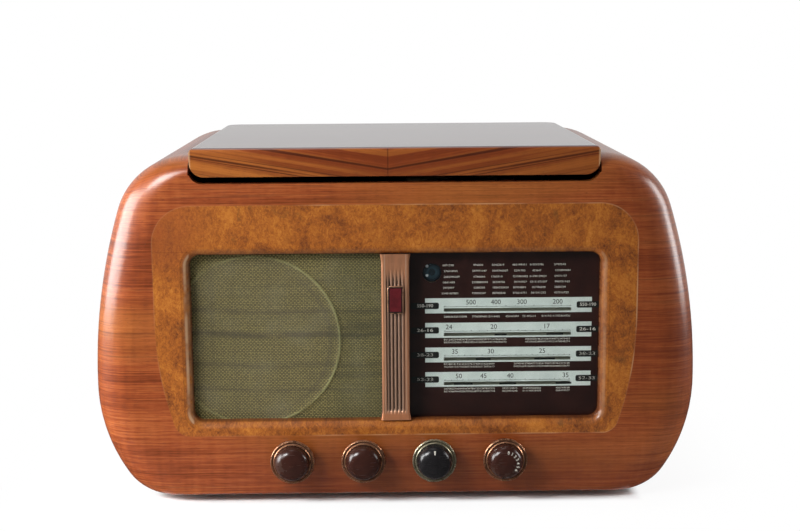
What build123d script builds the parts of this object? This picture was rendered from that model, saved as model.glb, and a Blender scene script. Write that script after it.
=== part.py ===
from build123d import *
from math import asin, atan2, cos, degrees, hypot, pi, radians, sin, sqrt
import os

# A wooden table radio with a record deck under its lid.
# X runs to the viewer's right, Y to the back and Z up. The origin is on the floor, under the middle of
# the whole object, knobs included. Sizes are in millimetres. Depths are counted from the front face of
# the wood and heights from its underside.

os.makedirs("parts", exist_ok=True)

# Cabinet outline, seen from the front: arcs that run into each other
CABINET_HALF_WIDTH = 280.0
CABINET_DEPTH = 345.0
CABINET_HEIGHT = 319.0
WIDEST_HEIGHT = 105.0
SHOULDER_RADIUS = 70.0
UPPER_FLANK_RADIUS = 550.0
LOWER_FLANK_RADIUS = 155.0
BOTTOM_CORNER_RADIUS = 44.0

# Cabinet walls and the rounding of the front edge
WALL = 14.0
EDGE_SIDE = 36.0
EDGE_TOP = 14.0
EDGE_BOTTOM = 6.0
EDGE_DEPTH = 30.0
EDGE_STEPS = 6
FRONT_THICKNESS = 12.0
FOOT_HEIGHT = 4.0
FOOT_RADIUS = 12.0
FOOT_X = 160.0
FOOT_FRONT = 45.0
FOOT_REAR = CABINET_DEPTH - 45.0
BOTTOM_BOARD_HALF_WIDTH = CABINET_HALF_WIDTH - 80.0

# Window in the front
WINDOW_HALF_WIDTH = 187.6
WINDOW_LOW = 73.9
WINDOW_HIGH = 229.7
WINDOW_CORNER = 9.5
WINDOW_LIP = 8.0
WINDOW_LAP = 4.0

# Lid, its opening in the top and the notch in the front that takes its apron
LID_HALF_WIDTH = 184.6
LID_DEPTH = CABINET_DEPTH - 30.0
LID_RISE = 8.0
LID_GAP = 0.4
LID_REAR_CORNER = 18.0
LID_EDGE = 4.5
APRON_LOW = CABINET_HEIGHT - 17.8
APRON_CORNER = 13.0
NOTCH_GAP = 1.4
NOTCH_LOW = CABINET_HEIGHT - 24.0
NOTCH_CORNER = 13.0
OPENING_HALF_WIDTH = 178.0
OPENING_REAR = LID_DEPTH - 15.0

# Lid hinges and stay
HINGE_X = 110.0
HINGE_LEAF = 50.0
HINGE_KNUCKLE = 17.4
BARREL_RADIUS = 3.0
HINGE_PIN_RADIUS = 1.2
LEAF_THICKNESS = 1.2
LEAF_DEPTH = 16.0
STAY_X = 170.0
STAY_RADIUS = 61.0
STAY_WIDTH = 10.0
STAY_THICKNESS = 1.6
STAY_SWING = 75.0
STAY_PIN_RADIUS = 2.0
STAY_PIN_ANGLE = 12.0

# Deck board and back cover
DECK_TOP = CABINET_HEIGHT - 64.0
DECK_THICKNESS = 10.0
DECK_SIDE_GAP = 0.5
RAIL_WIDTH = 20.0
RAIL_HEIGHT = 14.0
COVER_THICKNESS = 4.0
COVER_RECESS = 10.0
COVER_DEPTH = CABINET_DEPTH - COVER_RECESS - COVER_THICKNESS
COVER_GAP = 0.3
VENT_ROWS = 4
VENT_COLUMNS = 5
VENT_LENGTH = 62.0
VENT_WIDTH = 7.0
VENT_PITCH_X = 84.0
VENT_PITCH = 26.0
SCREW_XS = (-160.0, 0.0, 160.0)
SCREW_LOW = 20.0
SCREW_RADIUS = 1.6
SCREW_HEAD_RADIUS = 4.0
SCREW_HEAD_HEIGHT = 2.4

# Mains inlet and lead sockets on the back
INLET_X = -60.0
INLET_SIZE = 30.0
INLET_WALL = 2.5
INLET_HOLLOW = 15.0
PIN_RADIUS = 2.4
PIN_PITCH = 12.0
PIN_LENGTH = 18.0
INLET_MARGIN = 1.0
SOCKET_X = 60.0
SOCKET_HEIGHT = 38.0
SOCKET_COUNT = 4
SOCKET_PITCH = 16.0
SOCKET_GAP = 1.0
SOCKET_TALL = 26.0
SOCKET_LENGTH = 10.0
SOCKET_HOLE_RADIUS = 2.2
SOCKET_HOLE_DEPTH = 6.0
SOCKET_MARGIN_X = 6.5
SOCKET_MARGIN = 3.0

# Controls
KNOB_HEIGHT = 38.3
KNOB_MIDDLE_X = 1.6
KNOB_PITCH = 65.5
KNOB_REACH = 25.0
KNOB_DOME_RADIUS = 16.0
KNOB_SKIRT_RADIUS = KNOB_DOME_RADIUS + 2.6
KNOB_RING_RADIUS = KNOB_DOME_RADIUS + 4.3
SKIRT_BACK = 1.5
RING_BACK = 8.5
RING_DEPTH = 4.5
CROWN_FALL = 2.0
DOME_CORNER = 9.0
SHAFT_INTO_KNOB = 14.0
SHAFT_RADIUS = 3.15
SHAFT_HOLE_RADIUS = 5.0
CONTROL_RADIUS = 16.0
CONTROL_LENGTH = 16.0

# Speaker, cloth and baffle
SPEAKER_X = -131.0
SPEAKER_HEIGHT = 148.0
SPEAKER_HOLE_RADIUS = 78.0
SPEAKER_FLANGE_RADIUS = 94.0
SPEAKER_DEPTH = 62.0
CLOTH_THICKNESS = 0.8
BAFFLE_THICKNESS = 8.0
CLOTH_RIGHT = 4.0
BAFFLE_MARGIN = 12.0

# Pillar between the cloth and the dial
PILLAR_X = -0.5
PILLAR_WIDTH = 26.0
PILLAR_RIDGES = 5
PILLAR_FRONT = 2.0
BADGE_HEIGHT = 187.5
BADGE_TALL = 26.0
BADGE_WIDE = 15.0
BADGE_THICKNESS = 1.8
BADGE_CORNER = 4.0
PILLAR_END = 9.0
PILLAR_END_PROUD = 1.0

# Dial
GLASS_THICKNESS = 3.0
GLASS_LEFT = 6.0
GLASS_RIGHT = 196.0
DIAL_PLATE_DEPTH = 20.0
SHEET = 1.5
DIAL_LEFT = 8.0
DIAL_RIGHT = 201.5
DIAL_TOP = 238.0
DIAL_LOW = 73.0
EYE_X = 33.4
EYE_HEIGHT = 210.0
EYE_RADIUS = 9.0
EYE_FACE_DEPTH = 19.0
EYE_BODY_RADIUS = 15.0
EYE_BODY_LENGTH = 48.0
EYE_BASE_LENGTH = 12.0
LAMP_XS = (72.0, 150.0)
LAMP_HEIGHT = 228.0
POINTER_X = 184.5
POINTER_WIDTH = 1.0
POINTER_FRONT = 16.6
POINTER_TOP = WINDOW_HIGH - 4.0
CARRIAGE_WIDTH = 5.0

# Tuning drive: wheels that the cord goes round
CORD_DEPTH = 30.5
CORD_RADIUS = 0.5
CORD_CLEARANCE = 0.1
DRUM_X = 105.0
DRUM_HEIGHT = 122.0
DRUM_RADIUS = 47.75
PULLEY_RADIUS = 8.0
LEFT_PULLEY_X = 10.0
LEFT_PULLEY_HEIGHT = 56.0
RIGHT_PULLEY_X = 198.0
GROOVE_WIDTH = 1.6
FLANGE_WIDTH = 1.2
FLANGE_RISE = 1.7
POST_RADIUS = 2.0
DRUM_HOLES = 5
DRUM_HOLE_RADIUS = 9.0

# Chassis and what stands on it
CHASSIS_LEFT = -130.0
CHASSIS_RIGHT = 215.0
CHASSIS_FRONT = 60.0
CHASSIS_REAR = CABINET_DEPTH - 45.0
CHASSIS_HEIGHT = 60.0
LUG_WIDTH = 14.0
TRANSFORMER_X = -80.0
MAINS_CORE_FRONT = 185.0
MAINS_CORE = (76.0, 64.0, 62.0)
MAINS_COIL = (60.0, 94.0, 50.0)
OUTPUT_CORE_FRONT = 122.0
OUTPUT_CORE = (50.0, 26.0, 40.0)
OUTPUT_COIL = (34.0, 38.0, 28.0)
COIL_RISE = 6.0
VALVE_PLACES = ((160, 100, 14, 80), (187, 165, 14, 80), (187, 235, 14, 80), (60, 250, 19, 96), (0, 255, 19, 96))
CAN_PLACES = ((140, 165), (140, 240))
CAN_SIDE = 32.0
CAN_HEIGHT = 72.0
SMOOTHER_PLACE = (60, 190)
SMOOTHER_RADIUS = 17.5
SMOOTHER_HEIGHT = 88.0
GANG_WIDTH = 60.0
GANG_FRONT = 64.0
GANG_LENGTH = 66.0
GANG_TOP = 150.0
VANE_RADIUS = 24.0
VANE_COUNT = 9
VANE_PITCH = 5.0
VANE_THICKNESS = 0.8

# Record deck: turntable and its drive
PLATTER_X = -25.0
PLATTER_DEPTH = 168.0
PLATTER_RADIUS = 127.0
PLATTER_TOP = DECK_TOP + 16.0
PLATTER_SKIN = 2.5
PLATTER_RIM = 3.0
RIM_LOW = PLATTER_TOP - 12.5
HUB_RADIUS = 12.0
HUB_LOW = PLATTER_TOP - 8.0
BEARING_RADIUS = 5.0
SPINDLE_LENGTH = 10.0
SPINDLE_TIP = 3.0
SPINDLE_FOOT_RADIUS = 20.0
MAT_THICKNESS = 2.0
MAT_RADIUS = 120.0
SPINDLE_RADIUS = 3.6
RUNNING_GAP = 0.3
SHAFT_CLEARANCE = 0.05
ROLLER_RADIUS = 6.0
ROLLER_ANGLE = -10.0
ROLLER_LOW = PLATTER_TOP - 12.0
ROLLER_SHAFT_RADIUS = 2.0
ROLLER_SHAFT_DROP = 19.0
MOTOR_RADIUS = 35.0
MOTOR_FLANGE = 7.0
MOTOR_LENGTH = 56.0
BOSS_RADIUS = 8.0
STOP_X = 135.0
STOP_DEPTH = 62.0
STOP_HUB_RADIUS = 9.0
STOP_LENGTH = 30.0
STOP_WIDTH = 7.0
LEVER_PIN_RADIUS = 3.0

# Record deck: pickup arm and its rest
ARM_X = 102.0
ARM_DEPTH = 255.0
ARM_REST_AIM = (22.0, 100.0)
ARM_TUBE_END = 150.0
ARM_TAIL = 25.0
ARM_LOW = DECK_TOP + 27.0
ARM_THICKNESS = 10.0
ARM_HALF_WIDTH = 7.0
ARM_TIP_HALF_WIDTH = 5.2
ARM_TAPER_FROM = 20.0
HEAD_START = 146.0
HEAD_END = 184.0
HEAD_WIDTH = 21.0
HEAD_LOW = PLATTER_TOP + 2.4
HEAD_HIGH = ARM_LOW + 7.0
HEAD_CORNER = 6.0
ARM_PIVOT_HEIGHT = ARM_LOW + 5.0
ARM_PIN_RADIUS = 1.5
PEDESTAL_TOP = ARM_LOW - 6.7
PEDESTAL_FOOT_RADIUS = 21.0
YOKE_TOP = ARM_LOW - 3.0
YOKE_RADIUS = 13.0
YOKE_PIN_RADIUS = 4.0
YOKE_PIN_LENGTH = 12.0
CHEEK = 2.5
CHEEK_RADIUS = 5.0
ARM_SWING_OUT = 33.0
ARM_REST_REACH = 110.0
REST_TOP = ARM_LOW - 0.4
REST_POST_RADIUS = 4.0
REST_FOOT_RADIUS = 9.0
REST_LENGTH = 8.0
REST_LIP = 2.0
REST_LIP_HEIGHT = 6.0
REST_THICKNESS = 3.0

# Where the frame's origin puts the front face and the underside of the wood
FRONT_Y = KNOB_REACH - (CABINET_DEPTH + KNOB_REACH) / 2
KNOB_NAMES = ("volume", "tuning", "tone", "band")
KNOB_XS = [KNOB_MIDDLE_X + KNOB_PITCH * (place - 1.5) for place in range(4)]


def deep(depth):
    """Y of a plane this far behind the front face."""
    return FRONT_Y + depth


def up(height):
    """Z of a level this far above the underside of the wood."""
    return FOOT_HEIGHT + height


def facing(depth):
    """A plane that faces the front; its own axes are X and Z."""
    return Plane(origin=(0, deep(depth), 0), x_dir=(1, 0, 0), z_dir=(0, -1, 0))


def level(height, x=0.0, depth=-FRONT_Y, along=(1, 0, 0)):
    """A level plane at a height, centred on a place of the plan."""
    return Plane(origin=(x, deep(depth), up(height)), x_dir=along, z_dir=(0, 0, 1))


def half_outline(side, top, bottom):
    """Right half of the cabinet's outline, drawn in by these amounts, as arcs tangent to each other."""
    widest = up(WIDEST_HEIGHT)
    ceiling = up(CABINET_HEIGHT) - top
    floor = up(0) + bottom
    half = CABINET_HALF_WIDTH - side
    shoulder = SHOULDER_RADIUS - (side + top) / 2
    corner = BOTTOM_CORNER_RADIUS - (side + bottom) / 2
    upper = UPPER_FLANK_RADIUS - side
    lower = LOWER_FLANK_RADIUS - side
    rise = degrees(asin((ceiling - shoulder - widest) / (upper - shoulder)))
    fall = degrees(asin((widest - corner - floor) / (lower - corner)))
    shoulder_x = half - upper + (upper - shoulder) * cos(radians(rise))
    corner_x = half - lower + (lower - corner) * cos(radians(fall))
    Line((0, ceiling), (shoulder_x, ceiling))
    CenterArc((shoulder_x, ceiling - shoulder), shoulder, rise, 90 - rise)
    CenterArc((half - upper, widest), upper, 0, rise)
    CenterArc((half - lower, widest), lower, -fall, fall)
    CenterArc((corner_x, floor + corner), corner, -90, 90 - fall)
    Line((0, floor), (corner_x, floor))


def outline_face(side, top, bottom):
    """The whole outline as a face, drawn in by these amounts."""
    with BuildSketch() as outline:
        with BuildLine():
            half_outline(side, top, bottom)
            mirror(about=Plane.YZ)
        make_face()
    return outline.sketch


def inner_wall_x(height):
    """Half the width inside the walls at a height above the widest level."""
    radius = UPPER_FLANK_RADIUS - WALL
    return CABINET_HALF_WIDTH - UPPER_FLANK_RADIUS + sqrt(radius**2 - (height - WIDEST_HEIGHT) ** 2)


def block(x, depth, height, width, length, tall):
    """A box added to the part being built: middle in X, front in depth, low side in height."""
    with Locations((x, deep(depth), up(height))):
        Box(width, length, tall, align=(Align.CENTER, Align.MIN, Align.MIN))


def turned(outline, x, depth, height, upright=False):
    """A turned solid of (radius, distance) points, about a line to the back, or upwards if upright."""
    origin = (x, deep(depth), up(height))
    plane = Plane(origin=origin, x_dir=(1, 0, 0), z_dir=(0, -1, 0) if upright else (0, 0, 1))
    with BuildSketch(plane) as profile:
        with BuildLine():
            Polyline(*outline, close=True)
        make_face()
    revolve(profile.sketch, axis=Axis(origin, (0, 0, 1) if upright else (0, 1, 0)))


# Cabinet wrap: sides, top and the rounded rim round the front, with rails that run a little into its walls
rail_x = inner_wall_x(DECK_TOP - DECK_THICKNESS - RAIL_HEIGHT / 2) - RAIL_WIDTH / 2 + WALL / 3
with BuildPart() as cabinet_wrap:
    for step in range(EDGE_STEPS + 1):
        turn = pi / 2 * step / EDGE_STEPS
        inset = 1 - sin(turn)
        with BuildSketch(facing(EDGE_DEPTH * (1 - cos(turn)))):
            add(outline_face(EDGE_SIDE * inset, EDGE_TOP * inset, EDGE_BOTTOM * inset))
    loft()
    with BuildSketch(facing(EDGE_DEPTH)):
        add(outline_face(0, 0, 0))
    extrude(amount=EDGE_DEPTH - CABINET_DEPTH)
    with BuildSketch(facing(0)):
        add(outline_face(EDGE_SIDE, EDGE_TOP, EDGE_BOTTOM))
    extrude(amount=-FRONT_THICKNESS, mode=Mode.SUBTRACT)
    with BuildSketch(facing(FRONT_THICKNESS)):
        add(outline_face(WALL, WALL, WALL))
    extrude(amount=FRONT_THICKNESS - CABINET_DEPTH, mode=Mode.SUBTRACT)
    for side in (-1, 1):
        block(side * rail_x, FRONT_THICKNESS, DECK_TOP - DECK_THICKNESS - RAIL_HEIGHT,
              RAIL_WIDTH, COVER_DEPTH - FRONT_THICKNESS, RAIL_HEIGHT)
    with Locations((0, deep(-EDGE_DEPTH), up(NOTCH_LOW))):
        Box(2 * (LID_HALF_WIDTH + NOTCH_GAP), EDGE_DEPTH + FRONT_THICKNESS, CABINET_HEIGHT,
            align=(Align.CENTER, Align.MIN, Align.MIN), mode=Mode.SUBTRACT)
    with Locations((0, deep(FRONT_THICKNESS), up(DECK_TOP + 10))):
        Box(2 * OPENING_HALF_WIDTH, OPENING_REAR - FRONT_THICKNESS, CABINET_HEIGHT,
            align=(Align.CENTER, Align.MIN, Align.MIN), mode=Mode.SUBTRACT)
    with Locations((0, deep(EDGE_DEPTH), 0)):
        Box(2 * BOTTOM_BOARD_HALF_WIDTH, CABINET_DEPTH, up(WALL) + 1,
            align=(Align.CENTER, Align.MIN, Align.MIN), mode=Mode.SUBTRACT)
cabinet_wrap.part.label = "cabinet_wrap"
export_step(cabinet_wrap.part, "parts/cabinet_wrap.step")

# Front panel: the flat board inside the rounded rim, with the window, the notch and four shaft holes
with BuildPart() as front_panel:
    with BuildSketch(facing(0)):
        add(outline_face(EDGE_SIDE, EDGE_TOP, EDGE_BOTTOM))
        with Locations((0, up((WINDOW_LOW + WINDOW_HIGH) / 2))):
            RectangleRounded(2 * WINDOW_HALF_WIDTH, WINDOW_HIGH - WINDOW_LOW, WINDOW_CORNER,
                             mode=Mode.SUBTRACT)
        with Locations((0, up(NOTCH_LOW + CABINET_HEIGHT / 2))):
            RectangleRounded(2 * (LID_HALF_WIDTH + NOTCH_GAP), CABINET_HEIGHT, NOTCH_CORNER,
                             mode=Mode.SUBTRACT)
        with Locations(*[(x, up(KNOB_HEIGHT)) for x in KNOB_XS]):
            Circle(SHAFT_HOLE_RADIUS, mode=Mode.SUBTRACT)
    extrude(amount=-FRONT_THICKNESS)
    front_edges = front_panel.edges().filter_by_position(Axis.Y, deep(0) - 0.1, deep(0) + 0.1)
    window_edges = front_edges.filter_by(
        lambda edge: abs(edge.center().X) < WINDOW_HALF_WIDTH + 1
        and up(WINDOW_LOW) - 1 < edge.center().Z < up(WINDOW_HIGH) + 1
    )
    fillet(window_edges, radius=WINDOW_LIP)
front_panel.part.label = "front_panel"
export_step(front_panel.part, "parts/front_panel.step")

# Bottom board, let into the underside of the wrap
with BuildPart() as bottom_board:
    block(0, EDGE_DEPTH, 0, 2 * BOTTOM_BOARD_HALF_WIDTH, CABINET_DEPTH - EDGE_DEPTH, WALL)
bottom_board.part.label = "bottom_board"
export_step(bottom_board.part, "parts/bottom_board.step")

# Feet: four dark pads
with BuildPart() as feet:
    for x in (-FOOT_X, FOOT_X):
        for depth in (FOOT_FRONT, FOOT_REAR):
            turned(((0, 0), (FOOT_RADIUS, 0), (FOOT_RADIUS, -FOOT_HEIGHT), (0, -FOOT_HEIGHT)),
                   x, depth, 0, upright=True)
feet.part.label = "feet"
export_step(feet.part, "parts/feet.step")

# Deck board: carries the record deck, with holes for the motor boss and the stop lever's pin
roller_arm = PLATTER_RADIUS - PLATTER_RIM - ROLLER_RADIUS - RUNNING_GAP
roller_x = PLATTER_X + roller_arm * cos(radians(ROLLER_ANGLE))
roller_depth = PLATTER_DEPTH + roller_arm * sin(radians(ROLLER_ANGLE))
with BuildPart() as motor_board:
    block(0, FRONT_THICKNESS, DECK_TOP - DECK_THICKNESS, 2 * (inner_wall_x(DECK_TOP) - DECK_SIDE_GAP),
          COVER_DEPTH - FRONT_THICKNESS, DECK_THICKNESS)
    with Locations((roller_x, deep(roller_depth), up(DECK_TOP))):
        Hole(BOSS_RADIUS)
    with Locations((STOP_X, deep(STOP_DEPTH), up(DECK_TOP))):
        Hole(LEVER_PIN_RADIUS + SHAFT_CLEARANCE)
motor_board.part.label = "motor_board"
export_step(motor_board.part, "parts/motor_board.step")

# Back cover: a thin board inside the walls, with rows of slots and two cut-outs for the sockets
socket_row = SOCKET_COUNT * SOCKET_PITCH - SOCKET_GAP
screw_heights = (DECK_TOP - DECK_THICKNESS / 2, SCREW_LOW)
with BuildPart() as back_cover:
    with BuildSketch(facing(COVER_DEPTH)):
        add(outline_face(WALL + COVER_GAP, WALL + COVER_GAP, WALL + COVER_GAP))
        with Locations((0, up((WINDOW_LOW + DECK_TOP - DECK_THICKNESS) / 2 + 6))):
            with GridLocations(VENT_PITCH_X, VENT_PITCH, VENT_COLUMNS, VENT_ROWS):
                SlotOverall(VENT_LENGTH, VENT_WIDTH, mode=Mode.SUBTRACT)
        with Locations((INLET_X, up(SOCKET_HEIGHT))):
            Rectangle(INLET_SIZE + 2 * INLET_MARGIN, INLET_SIZE + 2 * INLET_MARGIN, mode=Mode.SUBTRACT)
        with Locations((SOCKET_X, up(SOCKET_HEIGHT))):
            Rectangle(socket_row + 2 * SOCKET_MARGIN_X, SOCKET_TALL + 2 * SOCKET_MARGIN, mode=Mode.SUBTRACT)
    extrude(amount=-COVER_THICKNESS)
    with Locations(*[(x, deep(COVER_DEPTH + COVER_THICKNESS / 2), up(height))
                     for x in SCREW_XS for height in screw_heights]):
        Cylinder(SCREW_RADIUS + 0.1, 2 * COVER_THICKNESS, rotation=(90, 0, 0), mode=Mode.SUBTRACT)
back_cover.part.label = "back_cover"
export_step(back_cover.part, "parts/back_cover.step")

# Six round-headed screws that hold the back cover
with BuildPart() as cover_screws:
    for x in SCREW_XS:
        for height in screw_heights:
            turned(((0, -COVER_THICKNESS), (SCREW_RADIUS, -COVER_THICKNESS), (SCREW_RADIUS, 0),
                    (SCREW_HEAD_RADIUS, 0), (0.8 * SCREW_HEAD_RADIUS, SCREW_HEAD_HEIGHT * 2 / 3),
                    (0, SCREW_HEAD_HEIGHT)), x, COVER_DEPTH + COVER_THICKNESS, height)
cover_screws.part.label = "cover_screws"
export_step(cover_screws.part, "parts/cover_screws.step")

# Lid: a flat board whose apron drops into the notch
lid_low = CABINET_HEIGHT + LID_GAP
with BuildPart() as lid:
    with BuildSketch(level(lid_low, 0, LID_DEPTH / 2)) as lid_plan:
        Rectangle(2 * LID_HALF_WIDTH, LID_DEPTH)
        fillet(lid_plan.vertices().group_by(Axis.Y)[-1], radius=LID_REAR_CORNER)
    extrude(amount=LID_RISE - LID_GAP)
    with BuildSketch(facing(0)) as apron_face:
        with Locations((0, up((APRON_LOW + CABINET_HEIGHT + LID_RISE) / 2))):
            Rectangle(2 * LID_HALF_WIDTH, CABINET_HEIGHT + LID_RISE - APRON_LOW)
        fillet(apron_face.vertices().group_by(Axis.Y)[0], radius=APRON_CORNER)
    extrude(amount=-FRONT_THICKNESS)
    fillet(lid.faces().sort_by(Axis.Z)[-1].edges(), radius=LID_EDGE)
lid.part.label = "lid"
export_step(lid.part, "parts/lid.step")

# Lid hinges: barrels on a line behind the lid
hinge_depth = LID_DEPTH + LEAF_THICKNESS + RUNNING_GAP + BARREL_RADIUS
hinge_height = CABINET_HEIGHT + BARREL_RADIUS + 0.2
outer_barrel = (HINGE_LEAF - HINGE_KNUCKLE) / 2 - RUNNING_GAP
with BuildPart() as hinge_leaves_lower:
    for x in (-HINGE_X, HINGE_X):
        block(x, hinge_depth + BARREL_RADIUS + 0.6, CABINET_HEIGHT, HINGE_LEAF, LEAF_DEPTH, LEAF_THICKNESS)
        for side in (-1, 1):
            tab_x = x + side * (HINGE_LEAF - outer_barrel) / 2
            block(tab_x, hinge_depth, CABINET_HEIGHT, outer_barrel, BARREL_RADIUS + 1, LEAF_THICKNESS)
            with Locations((tab_x, deep(hinge_depth), up(hinge_height))):
                Cylinder(BARREL_RADIUS, outer_barrel, rotation=(0, 90, 0))
        with Locations((x, deep(hinge_depth), up(hinge_height))):
            Cylinder(HINGE_PIN_RADIUS, HINGE_LEAF, rotation=(0, 90, 0))
hinge_leaves_lower.part.label = "hinge_leaves_lower"
export_step(hinge_leaves_lower.part, "parts/hinge_leaves_lower.step")

with BuildPart() as hinge_leaves_upper:
    for x in (-HINGE_X, HINGE_X):
        block(x, LID_DEPTH, lid_low + 0.4, HINGE_LEAF, LEAF_THICKNESS, LID_RISE - LID_EDGE - 0.8)
        with Locations((x, deep(hinge_depth), up(hinge_height))):
            Cylinder(BARREL_RADIUS, HINGE_KNUCKLE, rotation=(0, 90, 0))
        with Locations((x, deep(LID_DEPTH + LEAF_THICKNESS + 1), up(hinge_height))):
            Box(HINGE_KNUCKLE, 3, 1.4)
        with Locations((x, deep(hinge_depth), up(hinge_height))):
            Cylinder(HINGE_PIN_RADIUS + SHAFT_CLEARANCE, HINGE_LEAF, rotation=(0, 90, 0), mode=Mode.SUBTRACT)
hinge_leaves_upper.part.label = "hinge_leaves_upper"
export_step(hinge_leaves_upper.part, "parts/hinge_leaves_upper.step")

# Lid stay: a slotted quadrant about the hinge line, on a foot under the lid
stay_plane = Plane(origin=(STAY_X, deep(hinge_depth), up(hinge_height)), x_dir=(0, -1, 0), z_dir=(-1, 0, 0))
stay_band = CenterArc((0, 0), STAY_RADIUS, -STAY_PIN_ANGLE + 4, -STAY_SWING - 8)
stay_slot = CenterArc((0, 0), STAY_RADIUS, -STAY_PIN_ANGLE, -STAY_SWING)
with BuildPart() as lid_stay:
    with BuildSketch(stay_plane):
        SlotArc(stay_band, STAY_WIDTH)
    extrude(amount=STAY_THICKNESS / 2, both=True)
    block(STAY_X, hinge_depth - STAY_RADIUS - STAY_WIDTH / 2, lid_low - 5, STAY_THICKNESS, STAY_WIDTH, 5)
    block(STAY_X - 5, hinge_depth - STAY_RADIUS - STAY_WIDTH, lid_low - STAY_THICKNESS,
          10 + STAY_THICKNESS, 2 * STAY_WIDTH, STAY_THICKNESS)
    with BuildSketch(stay_plane):
        SlotArc(stay_slot, 2 * STAY_PIN_RADIUS + 0.2)
    extrude(amount=STAY_THICKNESS, both=True, mode=Mode.SUBTRACT)
lid_stay.part.label = "lid_stay"
export_step(lid_stay.part, "parts/lid_stay.step")

# Stay pin: stands out of the side of the opening, through the stay's slot
pin_depth = hinge_depth - STAY_RADIUS * cos(radians(STAY_PIN_ANGLE))
pin_height = hinge_height - STAY_RADIUS * sin(radians(STAY_PIN_ANGLE))
pin_reach = OPENING_HALF_WIDTH - STAY_X
with BuildPart() as stay_pin:
    pin_plane = Plane(origin=(OPENING_HALF_WIDTH, deep(pin_depth), up(pin_height)),
                      x_dir=(0, 1, 0), z_dir=(-1, 0, 0))
    with BuildSketch(pin_plane):
        Circle(4.0)
    extrude(amount=pin_reach - STAY_THICKNESS)
    with BuildSketch(pin_plane):
        Circle(STAY_PIN_RADIUS)
    extrude(amount=pin_reach + STAY_THICKNESS + 2)
    with BuildSketch(pin_plane.offset(pin_reach + STAY_THICKNESS)):
        Circle(4.0)
    extrude(amount=2)
stay_pin.part.label = "stay_pin"
export_step(stay_pin.part, "parts/stay_pin.step")

# Cloth and the baffle board behind it, with the round speaker hole
cloth_left = -WINDOW_HALF_WIDTH - BAFFLE_MARGIN
cloth_low = WINDOW_LOW - BAFFLE_MARGIN / 2
cloth_high = WINDOW_HIGH + BAFFLE_MARGIN
with BuildPart() as grille_cloth:
    block((cloth_left + CLOTH_RIGHT) / 2, FRONT_THICKNESS, cloth_low,
          CLOTH_RIGHT - cloth_left, CLOTH_THICKNESS, cloth_high - cloth_low)
grille_cloth.part.label = "grille_cloth"
export_step(grille_cloth.part, "parts/grille_cloth.step")

baffle_depth = FRONT_THICKNESS + CLOTH_THICKNESS
baffle_left = SPEAKER_X - SPEAKER_FLANGE_RADIUS - 2
baffle_low = SPEAKER_HEIGHT - SPEAKER_FLANGE_RADIUS - 1
baffle_high = SPEAKER_HEIGHT + SPEAKER_FLANGE_RADIUS + 1
with BuildPart() as baffle_board:
    block((baffle_left + CLOTH_RIGHT) / 2, baffle_depth, baffle_low,
          CLOTH_RIGHT - baffle_left, BAFFLE_THICKNESS, baffle_high - baffle_low)
    with Locations((SPEAKER_X, deep(baffle_depth), up(SPEAKER_HEIGHT))):
        Cylinder(SPEAKER_HOLE_RADIUS, 4 * BAFFLE_THICKNESS, rotation=(90, 0, 0), mode=Mode.SUBTRACT)
baffle_board.part.label = "baffle_board"
export_step(baffle_board.part, "parts/baffle_board.step")

# Speaker: basket with windows, paper cone, and magnet
flange_depth = baffle_depth + BAFFLE_THICKNESS
hole = SPEAKER_HOLE_RADIUS
with BuildPart() as speaker_frame:
    turned(((hole + 4, 0), (SPEAKER_FLANGE_RADIUS, 0), (SPEAKER_FLANGE_RADIUS, 2.5), (hole + 5, 2.5),
            (40, SPEAKER_DEPTH), (12, SPEAKER_DEPTH), (12, SPEAKER_DEPTH - 2), (38, SPEAKER_DEPTH - 2),
            (hole + 2.5, 2.0), (hole, 2.0), (hole, 1.2), (hole + 4, 1.2)), SPEAKER_X, flange_depth, SPEAKER_HEIGHT)
    with BuildSketch(facing(flange_depth + 10)):
        with Locations((SPEAKER_X, up(SPEAKER_HEIGHT))):
            with PolarLocations(52, 4, start_angle=45):
                RectangleRounded(26, 56, 8)
    extrude(amount=12 - SPEAKER_DEPTH, mode=Mode.SUBTRACT)
speaker_frame.part.label = "speaker_frame"
export_step(speaker_frame.part, "parts/speaker_frame.step")

with BuildPart() as speaker_cone:
    turned(((0, 34), (14, 40), (17, 40), (hole - 12, 7.5), (hole - 8, 4), (hole - 4, 6), (hole - 1, 1.0),
            (hole + 3.5, 1.0), (hole + 3.5, 0.3), (hole - 1.6, 0.3), (hole - 4.4, 4.6), (hole - 8, 2.6),
            (hole - 12.6, 6.5), (16.6, 39), (14, 39), (0, 33)), SPEAKER_X, flange_depth, SPEAKER_HEIGHT)
speaker_cone.part.label = "speaker_cone"
export_step(speaker_cone.part, "parts/speaker_cone.step")

with BuildPart() as speaker_magnet:
    turned(((0, 0), (38, 0), (38, 6), (31, 6), (31, 26), (36, 26), (36, 32), (0, 32)),
           SPEAKER_X, flange_depth + SPEAKER_DEPTH, SPEAKER_HEIGHT)
speaker_magnet.part.label = "speaker_magnet"
export_step(speaker_magnet.part, "parts/speaker_magnet.step")

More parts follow.
